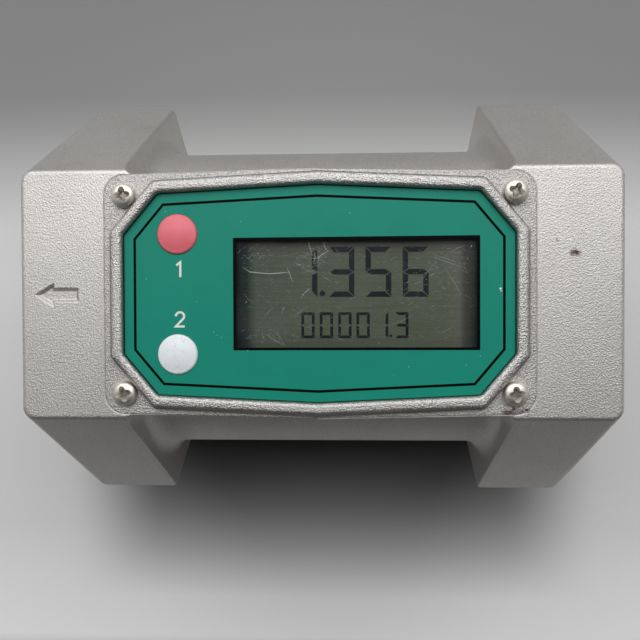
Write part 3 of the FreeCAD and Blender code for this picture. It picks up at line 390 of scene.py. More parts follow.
# Moulded and printed skins: colour; width of a colour cloud, width and depth of the grain, in mm;
# roughness from and to; how much darker a cloud gets; inputs that are the same all over
MOULDED = {
    # A velvet-textured film printed from behind: even colour under a fine satin grain.
    "screen_printed_film": ("label", 9, 0.18, 0.012, (0.42, 0.54), 0.08,
                            {"Specular IOR Level": 0.25}),
    # Ink lies as a thin even coat that takes up the film's grain.
    "black_screen_ink": ("ink", 3, 0.2, 0.006, (0.5, 0.6), 0.3, {"Specular IOR Level": 0.06}),
    # White ink covers a little unevenly, so the colour below greys it in clouds.
    "white_screen_ink": ("paint", 1, 0.2, 0.006, (0.4, 0.5), 0.1, {}),
    # Cast acrylic is clear; handling leaves a thin uneven haze that catches the light.
    "scuffed_clear_acrylic": ("#E7EBED", 12, 0.6, 0.002, (0.06, 0.16), 0.12, {}),
    # A scratch breaks the polish, so its rough bed glows pale under any light.
    "acrylic_scratch": ("#E7EAE7", 2, 0.1, 0.01, (0.5, 0.7), 0.12, {"Alpha": 0.45}),
    # The polariser is olive grey and faintly streaked by the electrode rows; painted shadow
    # darkens it at both ends and at its foot and top, and a painted reflection brightens a band
    # near its right end.
    "polarised_display_glass": ("glass", 8, 0.3, 0.002, (0.25, 0.35), 0.1, DULL),
    # A driven segment goes almost black with a blue cast, and stays as smooth as the glass.
    "liquid_crystal_segment": ("segment", 2, 0.3, 0.001, (0.28, 0.36), 0.15, DULL),
    # Moulded silicone is satin, and light goes a little way into it, which softens its shading.
    "red_silicone": ("red", 2.5, 0.15, 0.01, (0.36, 0.46), 0.08, SOFT),
    # The same moulded silicone in white: satin, slightly cloudy, with lilac hairlines of lint.
    "white_silicone": ("white", 2.5, 0.15, 0.01, (0.36, 0.46), 0.06, SOFT),
    # Barrel plating is pale and satin, with fine scuffs from the tumbling, and dirt and painted
    # shade in the recess.
    "nickel_plated_steel": ("plating", 1.5, 0.25, 0.015, (0.4, 0.54), 0.12, METAL),
    # Moulded rubber is charcoal with a dusty bloom and a coarse matt skin.
    "black_nitrile_rubber": ("#29292A", 3, 0.2, 0.02, (0.6, 0.8), 0.4, {}),
    # A spark-eroded mould gives the black nylon a fine even pebble and a dull sheen.
    "black_moulded_nylon": ("#242427", 4, 0.22, 0.02, (0.42, 0.58), 0.3, {}),
    # Rolled strip has a bright skin with faint clouds from the rolls.
    "rolled_spring_steel": ("#BCBAB6", 6, 0.12, 0.01, (0.22, 0.36), 0.15, METAL),
    # Hot tin flows into soft bright waves along the wire.
    "tinned_copper_wire": ("#CECDC8", 1.2, 0.4, 0.02, (0.25, 0.4), 0.2, METAL),
    # Natural acetal is milky, and a polished mould leaves it slightly waxy.
    "white_moulded_acetal": ("#DFDFDA", 7, 0.35, 0.01, (0.34, 0.46), 0.08, WAXY),
    # The rotor's filled acetal is mid grey with pale flow marks from the gate.
    "grey_moulded_acetal": ("#737679", 5, 0.3, 0.012, (0.36, 0.5), 0.25, {}),
    # Pressed and sintered carbon is near black with a grey bloom of graphite.
    "pressed_carbon": ("#3C3C3F", 1.5, 0.15, 0.02, (0.36, 0.55), 0.5, {}),
}

# Oily spots on the front of the castings: place, half width and half depth in mm, strength
STAINS = [(42.5, 6.6, 1.1, 0.85, 0.95), (39.6, 8.7, 0.35, 0.3, 0.5), (31.7, -19.9, 1.7, 0.7, 0.8),
          (32.4, -19.3, 0.6, 0.4, 0.9), (34.7, -19.5, 0.7, 0.4, 0.9), (33.4, -19.7, 1.9, 0.6, 0.5)]
RAGGED = 1.2 * MM  # how far the edge of a spot wanders, and how deep a spot goes


def cast_metal(tree, shader, place, colours, depth, painted_glint_spread):
    """Blasted casting: dimples of a depth in mm, glints painted into the colour grain by grain,
    painted shade with dirt on the rim's lower slopes, oily spots.
    """
    grain = bpy.context.scene.flow_meter_sizes.grain
    edge = add(tree, "Bevel", {"Radius": 0.35 * MM}, samples=6)
    fine = add(tree, "TexNoise", {"Vector": place, "Scale": 1 / grain, "Detail": 3.0,
                                  "Roughness": 0.6})
    pits = add(tree, "TexVoronoi", {"Vector": place, "Scale": 0.7 / grain})
    height = add(tree, "Math MULTIPLY_ADD", (pits, 0.5, fine))
    bump = add(tree, "Bump", {"Height": height, "Distance": depth * MM, "Normal": edge})
    clouds = add(tree, "TexNoise", {"Vector": place, "Scale": 1 / (16 * MM), "Detail": 5.0,
                                    "Roughness": 0.6})
    metal = add(tree, "ValToRGB", (clouds,),
                [(0.3, shade(colours.aluminium, 0.92)), (0.65, colours.aluminium)])
    marks = add(tree, "TexNoise", {"Vector": place, "Scale": 1 / (9 * MM), "Detail": 7.0})
    dirt = add(tree, "ValToRGB", (marks,), [(0.66, 0.0), (0.8, 0.15)])
    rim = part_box("front_cover")[1].z
    up = add(tree, "SeparateXYZ", (place,)).outputs["Z"]
    climb = add(tree, "MapRange", (up, rim - RIM_HEIGHT, rim))
    # Painted shade with dirt: the rim is painted darker from just above its flange to near its
    # crest.
    foot = add(tree, "ValToRGB", (climb,), [(0.03, 0.0), (0.1, 0.8), (0.5, 0.75), (0.92, 0.0)])
    # Random dirt marks, together with the painted shade on the rim.
    soil = add(tree, "Math MAXIMUM", (dirt, foot))
    ragged = add(tree, "TexNoise", {"Vector": place, "Scale": 1 / (0.5 * MM), "Detail": 3.0})
    warped = add(tree, "VectorMath MULTIPLY_ADD", (ragged.outputs["Color"], (RAGGED,) * 3, place))
    oil = 0.0
    for x, y, wide, deep, strength in STAINS:
        spot = Vector((x * MM, y * MM, rim - RIM_HEIGHT)) + Vector((RAGGED,) * 3) / 2
        away = add(tree, "VectorMath SUBTRACT", (warped, spot))
        shares = add(tree, "VectorMath DIVIDE", (away, (wide * MM, deep * MM, RAGGED)))
        far = add(tree, "VectorMath LENGTH", (shares,))
        stain = add(tree, "MapRange", (far, 0.35, 1.0, strength, 0.0))
        oil = add(tree, "Math MAXIMUM", (oil, stain))
    tint = add(tree, "Mix", {"Factor": soil, "A": metal, "B": shade(colours.grime_and_shade, 0.4)},
               data_type="RGBA")
    oiled = add(tree, "Mix", {"Factor": oil, "A": tint, "B": shade(colours.oil)},
                data_type="RGBA")
    gloss = add(tree, "MapRange", (fine, 0.3, 0.7, 0.45, 0.55))
    worn = add(tree, "Math MULTIPLY_ADD", (climb, -0.18, gloss))
    # Painted glints: the metal's colour is painted lighter or darker grain by grain.
    painted_glint = add(tree, "MapRange", (fine, 0.3, 0.7, *painted_glint_spread))
    glint_painted_colour = add(tree, "VectorMath MULTIPLY", (oiled, painted_glint))
    wire(tree, shader, {"Base Color": glint_painted_colour, "Roughness": worn, "Normal": bump, **METAL})


@finish
def blasted_cast_aluminium(tree, shader, place, colours, _):
    # Bead blasting leaves small dimples turned every way; the pale metal's soft glitter is painted
    # glints, each grain painted a little lighter or darker.
    cast_metal(tree, shader, place, colours, 0.065, (0.76, 1.16))


@finish
def coarse_cast_aluminium(tree, shader, place, colours, _):
    # The cover was blasted with coarser grit, so its dimples are deeper; its grains are painted
    # lighter as painted glints and darker as dirt in the pits, over a wider spread.
    cast_metal(tree, shader, place, colours, 0.14, (0.46, 1.24))


@finish
def packed_dust(tree, shader, place, colours, _):
    # Fine metal dust and grease fill the joint round the cover, a little darker than the casting.
    moulded(tree, shader, place, shade(colours.aluminium, 0.95), 2, 0.15, 0.02, (0.6, 0.8), 0.4)
    wire(tree, shader, {"Metallic": 0.7})


@finish
def cut_aluminium_thread(tree, shader, place, colours, _):
    # The tap leaves fine rings round the bore, so the thread shines brighter than the casting.
    rings = striped(tree, shader, place, "X", 1.2, 0.02, [
        (0.0, shade(colours.aluminium, 0.86)), (1.0, colours.aluminium)],
        Distortion=1.5, Detail=2.0)
    gloss = add(tree, "MapRange", (rings, 0.0, 1.0, 0.24, 0.36))
    wire(tree, shader, {"Roughness": gloss, **METAL})


@finish
def nickel_plated_steel(tree, shader, place, colours, tint):
    # Dirt and painted shade lie deepest at the foot of the recess, so the recess is painted darker
    # with depth.
    soil = add(tree, "Attribute", attribute_name="soil").outputs["Fac"]
    dull = add(tree, "Mix", {"Factor": soil, "A": tint, "B": shade(colours.grime_and_shade, 0.5)},
               data_type="RGBA")
    wire(tree, shader, {"Base Color": dull})


@finish
def scuffed_clear_acrylic(tree, shader, place, colours, _):
    # The haze covers next to nothing in some places and a little in others.
    haze = add(tree, "TexNoise", {"Vector": place, "Scale": 1 / (9 * MM), "Detail": 6.0})
    cover = add(tree, "MapRange", (haze, 0.3, 0.75, 0.004, 0.02))
    wire(tree, shader, {"Alpha": cover})


@finish
def polarised_display_glass(tree, shader, place, colours, _):
    # Factors on the glass's colour: painted shadow and a painted reflection along the panel,
    # painted shade from its foot to its top, and the electrode rows row by row.
    low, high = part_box("display_window")
    sides = add(tree, "SeparateXYZ", (place,)).outputs
    across = add(tree, "MapRange", (sides["X"], low.x + MM, high.x - MM))
    # Painted shadow at both ends of the panel, and a painted reflection as a bright band near its
    # right end.
    ends = add(tree, "ValToRGB", (across,), [
        (0.0, (0.06, 0.09, 0.14)), (0.04, (0.14, 0.2, 0.27)), (0.08, (0.9, 0.93, 0.9)),
        (0.3, (1.0, 1.0, 0.92)), (0.86, (1.04, 1.04, 0.98)), (0.93, (1.3, 1.1, 1.15)),
        (0.955, (0.5, 0.46, 0.52)), (1.0, (0.16, 0.16, 0.2))])
    upward = add(tree, "MapRange", (sides["Y"], low.y + MM, high.y - MM))
    # Painted shade: darker at the panel's foot and top.
    level = add(tree, "ValToRGB", (upward,), [
        (0.0, 0.72), (0.14, 0.95), (0.8, 1.0), (0.93, (0.98, 0.9, 0.98)), (1.0, (0.8, 0.7, 0.8))])
    drawn = add(tree, "VectorMath MULTIPLY", (place, (0.03, 1.0, 1.0)))
    rows = add(tree, "TexNoise", {"Vector": drawn, "Scale": 1 / (0.3 * MM), "Detail": 2.0})
    lines = add(tree, "MapRange", (rows, 0.3, 0.7, 0.86, 1.06))
    tint = colours.glass
    for factor in (ends, level, lines):
        tint = add(tree, "VectorMath MULTIPLY", (tint, factor))
    wire(tree, shader, {"Base Color": tint})


@finish
def white_silicone(tree, shader, place, colours, tint):
    # The hairlines are the narrow band in which a slow noise has one value.
    hairs = add(tree, "TexNoise", {"Vector": place, "Scale": 1 / (4 * MM), "Detail": 3.0})
    lint = add(tree, "ValToRGB", (hairs,),
               [(0.545, 1.0), (0.555, (0.84, 0.84, 0.92)), (0.565, 1.0)])
    soiled = add(tree, "VectorMath MULTIPLY", (tint, lint))
    wire(tree, shader, {"Base Color": soiled})


@finish
def layered_contact_elastomer(tree, shader, place, colours, _):
    # Thin slices of carbon-filled and clear silicone show as grey and pink stripes.
    striped(tree, shader, place, "X", 1.6, 0.02,
            [(0.45, linear("#A08681")), (0.55, linear("#303032"))])
    wire(tree, shader, {"Roughness": 0.55})


@finish
def solder_masked_laminate(tree, shader, place, colours, _):
    # Green mask over etched copper: tracks stand up as paler lines under the lacquer.
    tracks = add(tree, "TexBrick", {
        "Vector": place, "Scale": 1.0, "Mortar Size": 0.25 * MM, "Brick Width": 7 * MM,
        "Row Height": 1.3 * MM, "Color1": shade(linear("#164D30")),
        "Color2": shade(linear("#12452D")), "Mortar": shade(linear("#276F45"))})
    bump = add(tree, "Bump", {"Height": tracks.outputs["Fac"], "Distance": 0.03 * MM})
    wire(tree, shader, {"Base Color": tracks, "Roughness": 0.3, "Normal": bump})


@finish
def enamelled_copper_winding(tree, shader, place, colours, _):
    # Each layer of lacquered wire is a row of amber ridges, painted dark in the grooves as painted
    # shade and light on the crests as painted highlight.
    striped(tree, shader, place, "Z", 0.9, 0.06,
            [(0.0, linear("#6F381D")), (0.8, linear("#CE8655"))])
    wire(tree, shader, {"Roughness": 0.32, **METAL})


@finish
def pale_paper(tree, shader, place, colours, _):
    # Pale paper with light and shade painted into its colour: a painted falloff darkens it behind
    # the meter and far in front of it, a painted pool of light brightens it just in front, a
    # painted shadow darkens it in front of the meter, and a painted glow brightens it far from the
    # meter.
    sides = add(tree, "SeparateXYZ", (place,)).outputs
    # Painted falloff: the paper is painted darker from just behind the meter to its back.
    back = add(tree, "MapRange", (sides["Y"], 5 * MM, 95 * MM))
    tint = add(tree, "ValToRGB", (back,), [
        (position, shade(colours.floor, share)) for position, share in (
            (0.0, 1.0), (0.17, 0.92), (0.48, 0.43), (0.57, 0.34), (0.8, 0.31), (1.0, 0.28))])
    front = add(tree, "MapRange", (sides["Y"], -122 * MM, -22 * MM))
    # Painted light: a painted pool of light just in front of the meter, painted dark farther in
    # front.
    painted_falloff = add(tree, "ValToRGB", (front,),
               [(0.0, 0.04), (0.18, 0.3), (0.29, 1.2), (0.45, 1.12), (0.6, 1.0)])
    # Painted shadow: the paper in front of the meter is painted darker, across the meter's width
    # only.
    painted_shadow = add(tree, "ValToRGB", (front,), [(0.4, 0.0), (0.54, 0.42), (0.65, 0.68), (0.77, 0.86),
                                            (0.86, 0.95), (0.93, 0.95), (1.0, 0.0)])
    beside = add(tree, "Math ABSOLUTE", (sides["X"],))
    below = add(tree, "MapRange", (beside, 46 * MM, 74 * MM, -1.0, 0.0),
                interpolation_type="SMOOTHSTEP")
    clear = add(tree, "Math MULTIPLY_ADD", (painted_shadow, below, 1.0))
    painted_light_share = add(tree, "Math MULTIPLY", (clear, painted_falloff))
    lit = add(tree, "VectorMath MULTIPLY", (tint, painted_light_share))
    fibre = add(tree, "TexNoise", {"Vector": place, "Scale": 1 / (0.4 * MM), "Detail": 3.0})
    bump = add(tree, "Bump", {"Height": fibre, "Distance": 0.01 * MM})
    # Painted glow: the paper emits light that grows with distance from the meter, weaker in front,
    # for rays seen directly and in metal and glass.
    away = add(tree, "VectorMath LENGTH", (place,))
    painted_glow = add(tree, "MapRange", (away, 105 * MM, 330 * MM, 0.0, 0.36),
               interpolation_type="SMOOTHSTEP")
    dimmed = add(tree, "MapRange", (sides["Y"], -250 * MM, 250 * MM, 0.4))
    for share in (dimmed, seen_directly(tree)):
        painted_glow = add(tree, "Math MULTIPLY", (painted_glow, share))
    wire(tree, shader, {"Base Color": lit, "Roughness": 0.85, "Normal": bump,
                        "Emission Color": (1.0,) * 4, "Emission Strength": painted_glow})


# ---- Geometry trees ----------------------------------------------------------------------------

def geometry_tree(name, inputs):
    """Empty geometry tree with a Geometry input and output and the named inputs."""
    tree = bpy.data.node_groups.new(name, "GeometryNodeTree")
    tree.interface.new_socket("Geometry", in_out="INPUT", socket_type="NodeSocketGeometry")
    tree.interface.new_socket("Geometry", in_out="OUTPUT", socket_type="NodeSocketGeometry")
    for label, kind in inputs.items():
        tree.interface.new_socket(label, in_out="INPUT", socket_type="NodeSocket" + kind)
    return tree, add(tree, "NodeGroupInput").outputs


def close_tree(tree, geometry, finish):
    """Ends a tree in real meshes of one material."""
    real = add(tree, "GeometryNodeRealizeInstances", {"Geometry": geometry})
    coated = add(tree, "GeometryNodeSetMaterial", {"Geometry": real, "Material": material(finish)})
    add(tree, "NodeGroupOutput", {"Geometry": coated})
    return tree


def grow(name, tree, values, base=None):
    """Piece made by a geometry tree: its inputs are set, the result is kept, the modifier goes."""
    holder = bpy.data.objects.new(name + "_base", base or bpy.data.meshes.new(name + "_base"))
    bpy.context.scene.collection.objects.link(holder)
    modifier = holder.modifiers.new("Shape", "NODES")
    modifier.node_group = tree
    for item in tree.interface.items_tree:
        if item.in_out == "INPUT" and item.name in values:
            modifier[item.identifier] = values[item.name]
    bm = bmesh.new()
    bm.from_mesh(settle(holder).data)
    bpy.data.objects.remove(holder)
    if not bm.faces:
        raise RuntimeError(name + " came out empty")
    return make_object(name, bm)


def point_mesh(name, points, **attributes):
    """Loose points with one number each per attribute."""
    mesh = bpy.data.meshes.new(name)
    mesh.from_pydata(points, [], [])
    for label, values in attributes.items():
        kind = "INT" if isinstance(values[0], int) else "FLOAT"
        mesh.attributes.new(label, kind, "POINT").data.foreach_set("value", values)
    return mesh


def thread_tree():
    """Threaded sleeve of one port, and the same sleeve turned half round for the other."""
    along, about = 150, 181  # rows of points along the bore and points round it
    wall = along + 1.5  # rows past this one go back along the outside
    crest, flank = 0.14, 0.72  # shares of half a pitch that a crest's half and a flank take
    tree, given = geometry_tree("port_thread", {
        "Start": "Float", "End": "Float", "Axis height": "Float", "Crest radius": "Float",
        "Root radius": "Float", "Pitch": "Float", "Taper": "Float"})
    grid = add(tree, "GeometryNodeMeshGrid", {"Vertices X": along + 4, "Vertices Y": about})
    spot = add(tree, "SeparateXYZ", (add(tree, "GeometryNodeInputPosition"),)).outputs
    known = {"along": spot["X"], "about": spot["Y"], **{s.name: s for s in given if s.name}}
    # Each row: a result, its operation, and numbers or the names of what is known so far
    for result, operation, *parts in (
            ("shifted", "ADD", "along", 0.5),
            ("counted", "MULTIPLY", "shifted", along + 3.0),
            ("row", "ROUND", "counted"),
            ("turn", "ADD", "about", 0.5),
            ("share", "DIVIDE", "row", float(along)),
            ("capped", "MINIMUM", "share", 1.0),
            ("ahead", "LESS_THAN", "row", wall),
            ("reach", "MULTIPLY", "capped", "ahead"),
            ("outer", "COMPARE", "row", wall, 0.75),
            ("span", "SUBTRACT", "End", "Start"),
            ("x", "MULTIPLY_ADD", "reach", "span", "Start"),
            ("leads", "DIVIDE", "x", "Pitch"),
            ("wound", "SUBTRACT", "leads", "turn"),
            ("phase", "FRACT", "wound"),
            ("centred", "SUBTRACT", "phase", 0.5),
            ("folded", "ABSOLUTE", "centred"),
            ("wedge", "MULTIPLY", "folded", 2.0),
            ("raised", "SUBTRACT", "wedge", crest),
            ("flank", "DIVIDE", "raised", flank),
            ("left", "SUBTRACT", "End", "x"),
            ("depth", "SUBTRACT", "Root radius", "Crest radius"),
            ("groove", "MULTIPLY_ADD", "flank", "depth", "Crest radius"),
            ("drawn in", "MULTIPLY", "left", "Taper"),
            ("cut", "SUBTRACT", "groove", "drawn in"),
            ("mouth", "SUBTRACT", "Root radius", "left"),
            ("thread", "MAXIMUM", "cut", "Crest radius"),
            ("bore", "MAXIMUM", "thread", "mouth"),
            ("thickness", "SUBTRACT", "Root radius", "bore"),
            ("radius", "MULTIPLY_ADD", "thickness", "outer", "bore"),
            ("angle", "MULTIPLY", "turn", math.tau),
            ("cosine", "COSINE", "angle"),
            ("sine", "SINE", "angle"),
            ("y", "MULTIPLY", "radius", "cosine"),
            ("z", "MULTIPLY_ADD", "radius", "sine", "Axis height")):
        known[result] = add(tree, "Math " + operation, [
            known[p] if isinstance(p, str) else p for p in parts], use_clamp=result == "flank")
    place = add(tree, "CombineXYZ", [known[axis] for axis in "xyz"])
    sleeve = add(tree, "GeometryNodeSetPosition", {"Geometry": grid, "Position": place})
    closed = add(tree, "GeometryNodeMergeByDistance", {"Geometry": sleeve, "Distance": WELD})
    other = add(tree, "GeometryNodeTransform", {"Geometry": closed,
                                                "Rotation": (0.0, 0.0, math.pi)})
    both = add(tree, "GeometryNodeJoinGeometry")
    for port_sleeve in (closed, other):
        wire(tree, both, {"Geometry": port_sleeve})
    return close_tree(tree, both, "cut_aluminium_thread")


def screw_tree():
    """One screw at each point, turned about its own axis."""
    tree, given = geometry_tree("cover_screw_set", {"Screw": "Object"})
    screw = add(tree, "GeometryNodeObjectInfo", {"Object": given["Screw"]}).outputs["Geometry"]
    turn = add(tree, "GeometryNodeInputNamedAttribute", {"Name": "turn"})
    spin = add(tree, "CombineXYZ", {"Z": turn})
    placed = add(tree, "GeometryNodeInstanceOnPoints", {
        "Points": given["Geometry"], "Instance": screw, "Rotation": spin})
    return close_tree(tree, placed, "nickel_plated_steel")


def digit_tree():
    """One glyph at each point, picked by number and scaled to its row."""
    tree, given = geometry_tree("display_digits", {"Glyphs": "Collection"})
    glyphs = add(tree, "GeometryNodeCollectionInfo", {
        "Collection": given["Glyphs"], "Separate Children": True, "Reset Children": True})
    which = add(tree, "GeometryNodeInputNamedAttribute", {"Name": "glyph"}, data_type="INT")
    size = add(tree, "GeometryNodeInputNamedAttribute", {"Name": "size"})
    flat = add(tree, "CombineXYZ", (size, size, 1.0))
    placed = add(tree, "GeometryNodeInstanceOnPoints", {
        "Points": given["Geometry"], "Instance": glyphs, "Pick Instance": True,
        "Instance Index": which, "Scale": flat})
    return close_tree(tree, placed, "liquid_crystal_segment")


def scuff_tree():
    """Short scratches strewn over the pane, each with its own length and lean."""
    tree, given = geometry_tree("pane_scuffs", {"Scratch": "Object", "Density": "Float",
                                                "Lean": "Float", "Seed": "Int"})
    wear = add(tree, "GeometryNodeInputNamedAttribute", {"Name": "wear"})
    share = add(tree, "Math MULTIPLY", (wear, given["Density"]))
    spots = add(tree, "GeometryNodeDistributePointsOnFaces", {
        "Mesh": given["Geometry"], "Density": share, "Seed": given["Seed"]})
    scratch = add(tree, "GeometryNodeObjectInfo", {"Object": given["Scratch"]}).outputs["Geometry"]
    back = add(tree, "Math MULTIPLY", (given["Lean"], -1.0))
    lean = add(tree, "FunctionNodeRandomValue", {"Min": back, "Max": given["Lean"], "Seed": 5})
    size = add(tree, "FunctionNodeRandomValue", {"Min": (0.04, 0.4, 1.0), "Max": (0.7, 1.1, 1.0),
                                                 "Seed": 9}, data_type="FLOAT_VECTOR")
    spin = add(tree, "CombineXYZ", {"Z": lean})
    placed = add(tree, "GeometryNodeInstanceOnPoints", {
        "Points": spots, "Instance": scratch, "Rotation": spin, "Scale": size})
    return close_tree(tree, placed, "acrylic_scratch")


# ---- Operators ---------------------------------------------------------------------------------

def port():
    """Flow axis height, radius, inner end and outer end of a port's bore."""
    mount = next(m for m in frame["record"]["mounts"] if m["name"] == "inlet_port")
    x, _, height = mount["pos_m"]
    half = mount["dims"]["length_mm"] * MM / 2
    return height, mount["dims"]["r_mm"] * MM, x - half, x + half


def screw_places():
    """Place of each cover screw, and the heads' radius, from the corners of their node."""
    low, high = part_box("cover_screws")
    mesh = NODES["cover_screws"].data
    first = [v.co for v in mesh.vertices if v.co.x < 0 and v.co.y < 0]
    edge = (max(c.x for c in first) - low.x) / 2
    x, y = high.x - edge, high.y - edge
    return [(-x, y), (-x, -y), (x, y), (x, -y)], edge


def cap_radius(node):
    """Radius of a button's cap, inside its flange."""
    low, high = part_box(node)
    return (high.x - low.x) / 2 - BUTTON_LIP


class FLOWMETER_OT_castings(bpy.types.Operator):
    """Cast body, its bores opened to the root of the thread, and cast cover"""
    bl_idname = "flow_meter.castings"
    bl_label = "Body and cover castings"

    SEAM_WIDTH = 0.3 * MM
    SEAM_FOOT, SEAM_TOP = 0.5 * MM, 0.02 * MM  # below the body's front

    def execute(self, context):
        height, radius, inner, _ = port()
        root = radius + context.scene.flow_meter_sizes.thread_depth
        body = merged_copy("meter_body")
        for vert in body.verts:
            across = Vector((vert.co.y, vert.co.z - height))
            if abs(across.length - radius) < NEAR and abs(vert.co.x) > inner - WELD:
                across *= root / across.length
                vert.co.y, vert.co.z = across.x, across.y + height
        dress(flats_kept(make_object("body_casting", body)), "housing", "cast_aluminium",
              "blasted_cast_aluminium", "meter_body")
        cover = merged_copy("front_cover")
        outline = outline_of(cover.verts)
        dress(flats_kept(make_object("cover_casting", cover)), "housing", "cast_aluminium",
              "coarse_cast_aluminium", "front_cover")
        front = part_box("meter_body")[1].z
        seam = bmesh.new()
        band(seam, outline, self.SEAM_WIDTH, front - self.SEAM_FOOT, front - self.SEAM_TOP,
             closed=True)
        dress(make_object("cover_seam", seam), "housing", "cast_aluminium", "packed_dust")
        return {"FINISHED"}


class FLOWMETER_OT_threads(bpy.types.Operator):
    """Tapered pipe thread in both ports"""
    bl_idname = "flow_meter.threads"
    bl_label = "Port threads"

    TAPER = 1 / 32  # of a pipe thread: radius against length
    GAP = 0.02 * MM  # between a sleeve and the shoulder behind it

    def execute(self, context):
        sizes = context.scene.flow_meter_sizes
        height, radius, inner, outer = port()
        threads = grow("port_threads", thread_tree(), {
            "Start": inner + self.GAP, "End": outer + sizes.thread_depth, "Axis height": height,
            "Crest radius": radius, "Root radius": radius + sizes.thread_depth,
            "Pitch": sizes.thread_pitch, "Taper": self.TAPER})
        dress(threads, "housing", "cast_aluminium", "cut_aluminium_thread")
        return {"FINISHED"}


class FLOWMETER_OT_screws(bpy.types.Operator):
    """Four pan-head screws with a cross recess"""
    bl_idname = "flow_meter.screws"
    bl_label = "Cover screws"

    TURNS = (6, 17, -20, 8)  # degrees that the recesses stand turned
    SHANK, UNDERSIDE = 0.55, 0.94  # radii against the head's
    EDGE, SIDE = 0.06, 0.3  # heights of the head's lower edge and straight side, against its own
    FLATTENED = 0.55  # power that makes the dome flatter on top than a ball
    CUTTER_FOOT, CUTTER_TOP = 0.4, 1.2  # widths of the tapered cutter against the recess
    OVERSHOOT = 0.3 * MM  # of the cutter above the head
    RECESS_DIRT_AND_SHADE = 0.7  # share of dirt and painted shade at the foot of the recess

    def execute(self, context):
        sizes = context.scene.flow_meter_sizes
        low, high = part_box("cover_screws")
        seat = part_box("front_cover")[1].z - RIM_HEIGHT
        places, edge = screw_places()
        crown = high.z - seat
        shank = self.SHANK * edge
        profile = [(0, low.z), (shank, low.z), (shank, seat), (self.UNDERSIDE * edge, seat),
                   (edge, seat + self.EDGE * crown)]
        for k in range(9):
            lift = math.radians(90 * k / 8)
            profile.append((edge * math.cos(lift) ** self.FLATTENED if k < 8 else 0.0,
                            seat + crown * (self.SIDE + (1 - self.SIDE) * math.sin(lift))))
        blank = bmesh.new()
        lathe(blank, profile)
        head = make_object("screw_blank", blank)
        cross = []
        for x, y in ring(64, self.CUTTER_FOOT, self.CUTTER_FOOT):
            wing = sizes.recess_span / 2 - sizes.recess_core
            reach = sizes.recess_core + wing * abs(math.cos(2 * math.atan2(y, x))) ** 1.5
            cross.append((reach * x, reach * y))
        cutter = bmesh.new()
        prism(cutter, cross, high.z - sizes.recess_depth, high.z + self.OVERSHOOT,
              top_scale=self.CUTTER_TOP / self.CUTTER_FOOT)
        recess = make_object("screw_recess", cutter)
        cut = head.modifiers.new("Recess", "BOOLEAN")
        cut.object, cut.operation, cut.solver = recess, "DIFFERENCE", "EXACT"
        settle(head)
        bpy.data.objects.remove(recess)
        # Painted shade with dirt: each point in the recess is marked darker the deeper it lies, up
        # to the darkest share.
        soil = head.data.attributes.new("soil", "FLOAT", "POINT")
        for vert, value in zip(head.data.vertices, soil.data):
            sunk = (high.z - vert.co.z) / sizes.recess_depth
            if vert.co.xy.length < sizes.recess_span / 2 and sunk < 1.01:
                value.value = min(self.RECESS_DIRT_AND_SHADE, 1.1 * sunk)
        points = point_mesh("screw_places", [(*place, 0.0) for place in places],
                            turn=[math.radians(t) for t in self.TURNS])
        screws = grow("cover_screw_set", screw_tree(), {"Screw": head}, points)
        bpy.data.objects.remove(head)
        dress(screws, "housing", "nickel_steel", "nickel_plated_steel", "cover_screws")
        return {"FINISHED"}


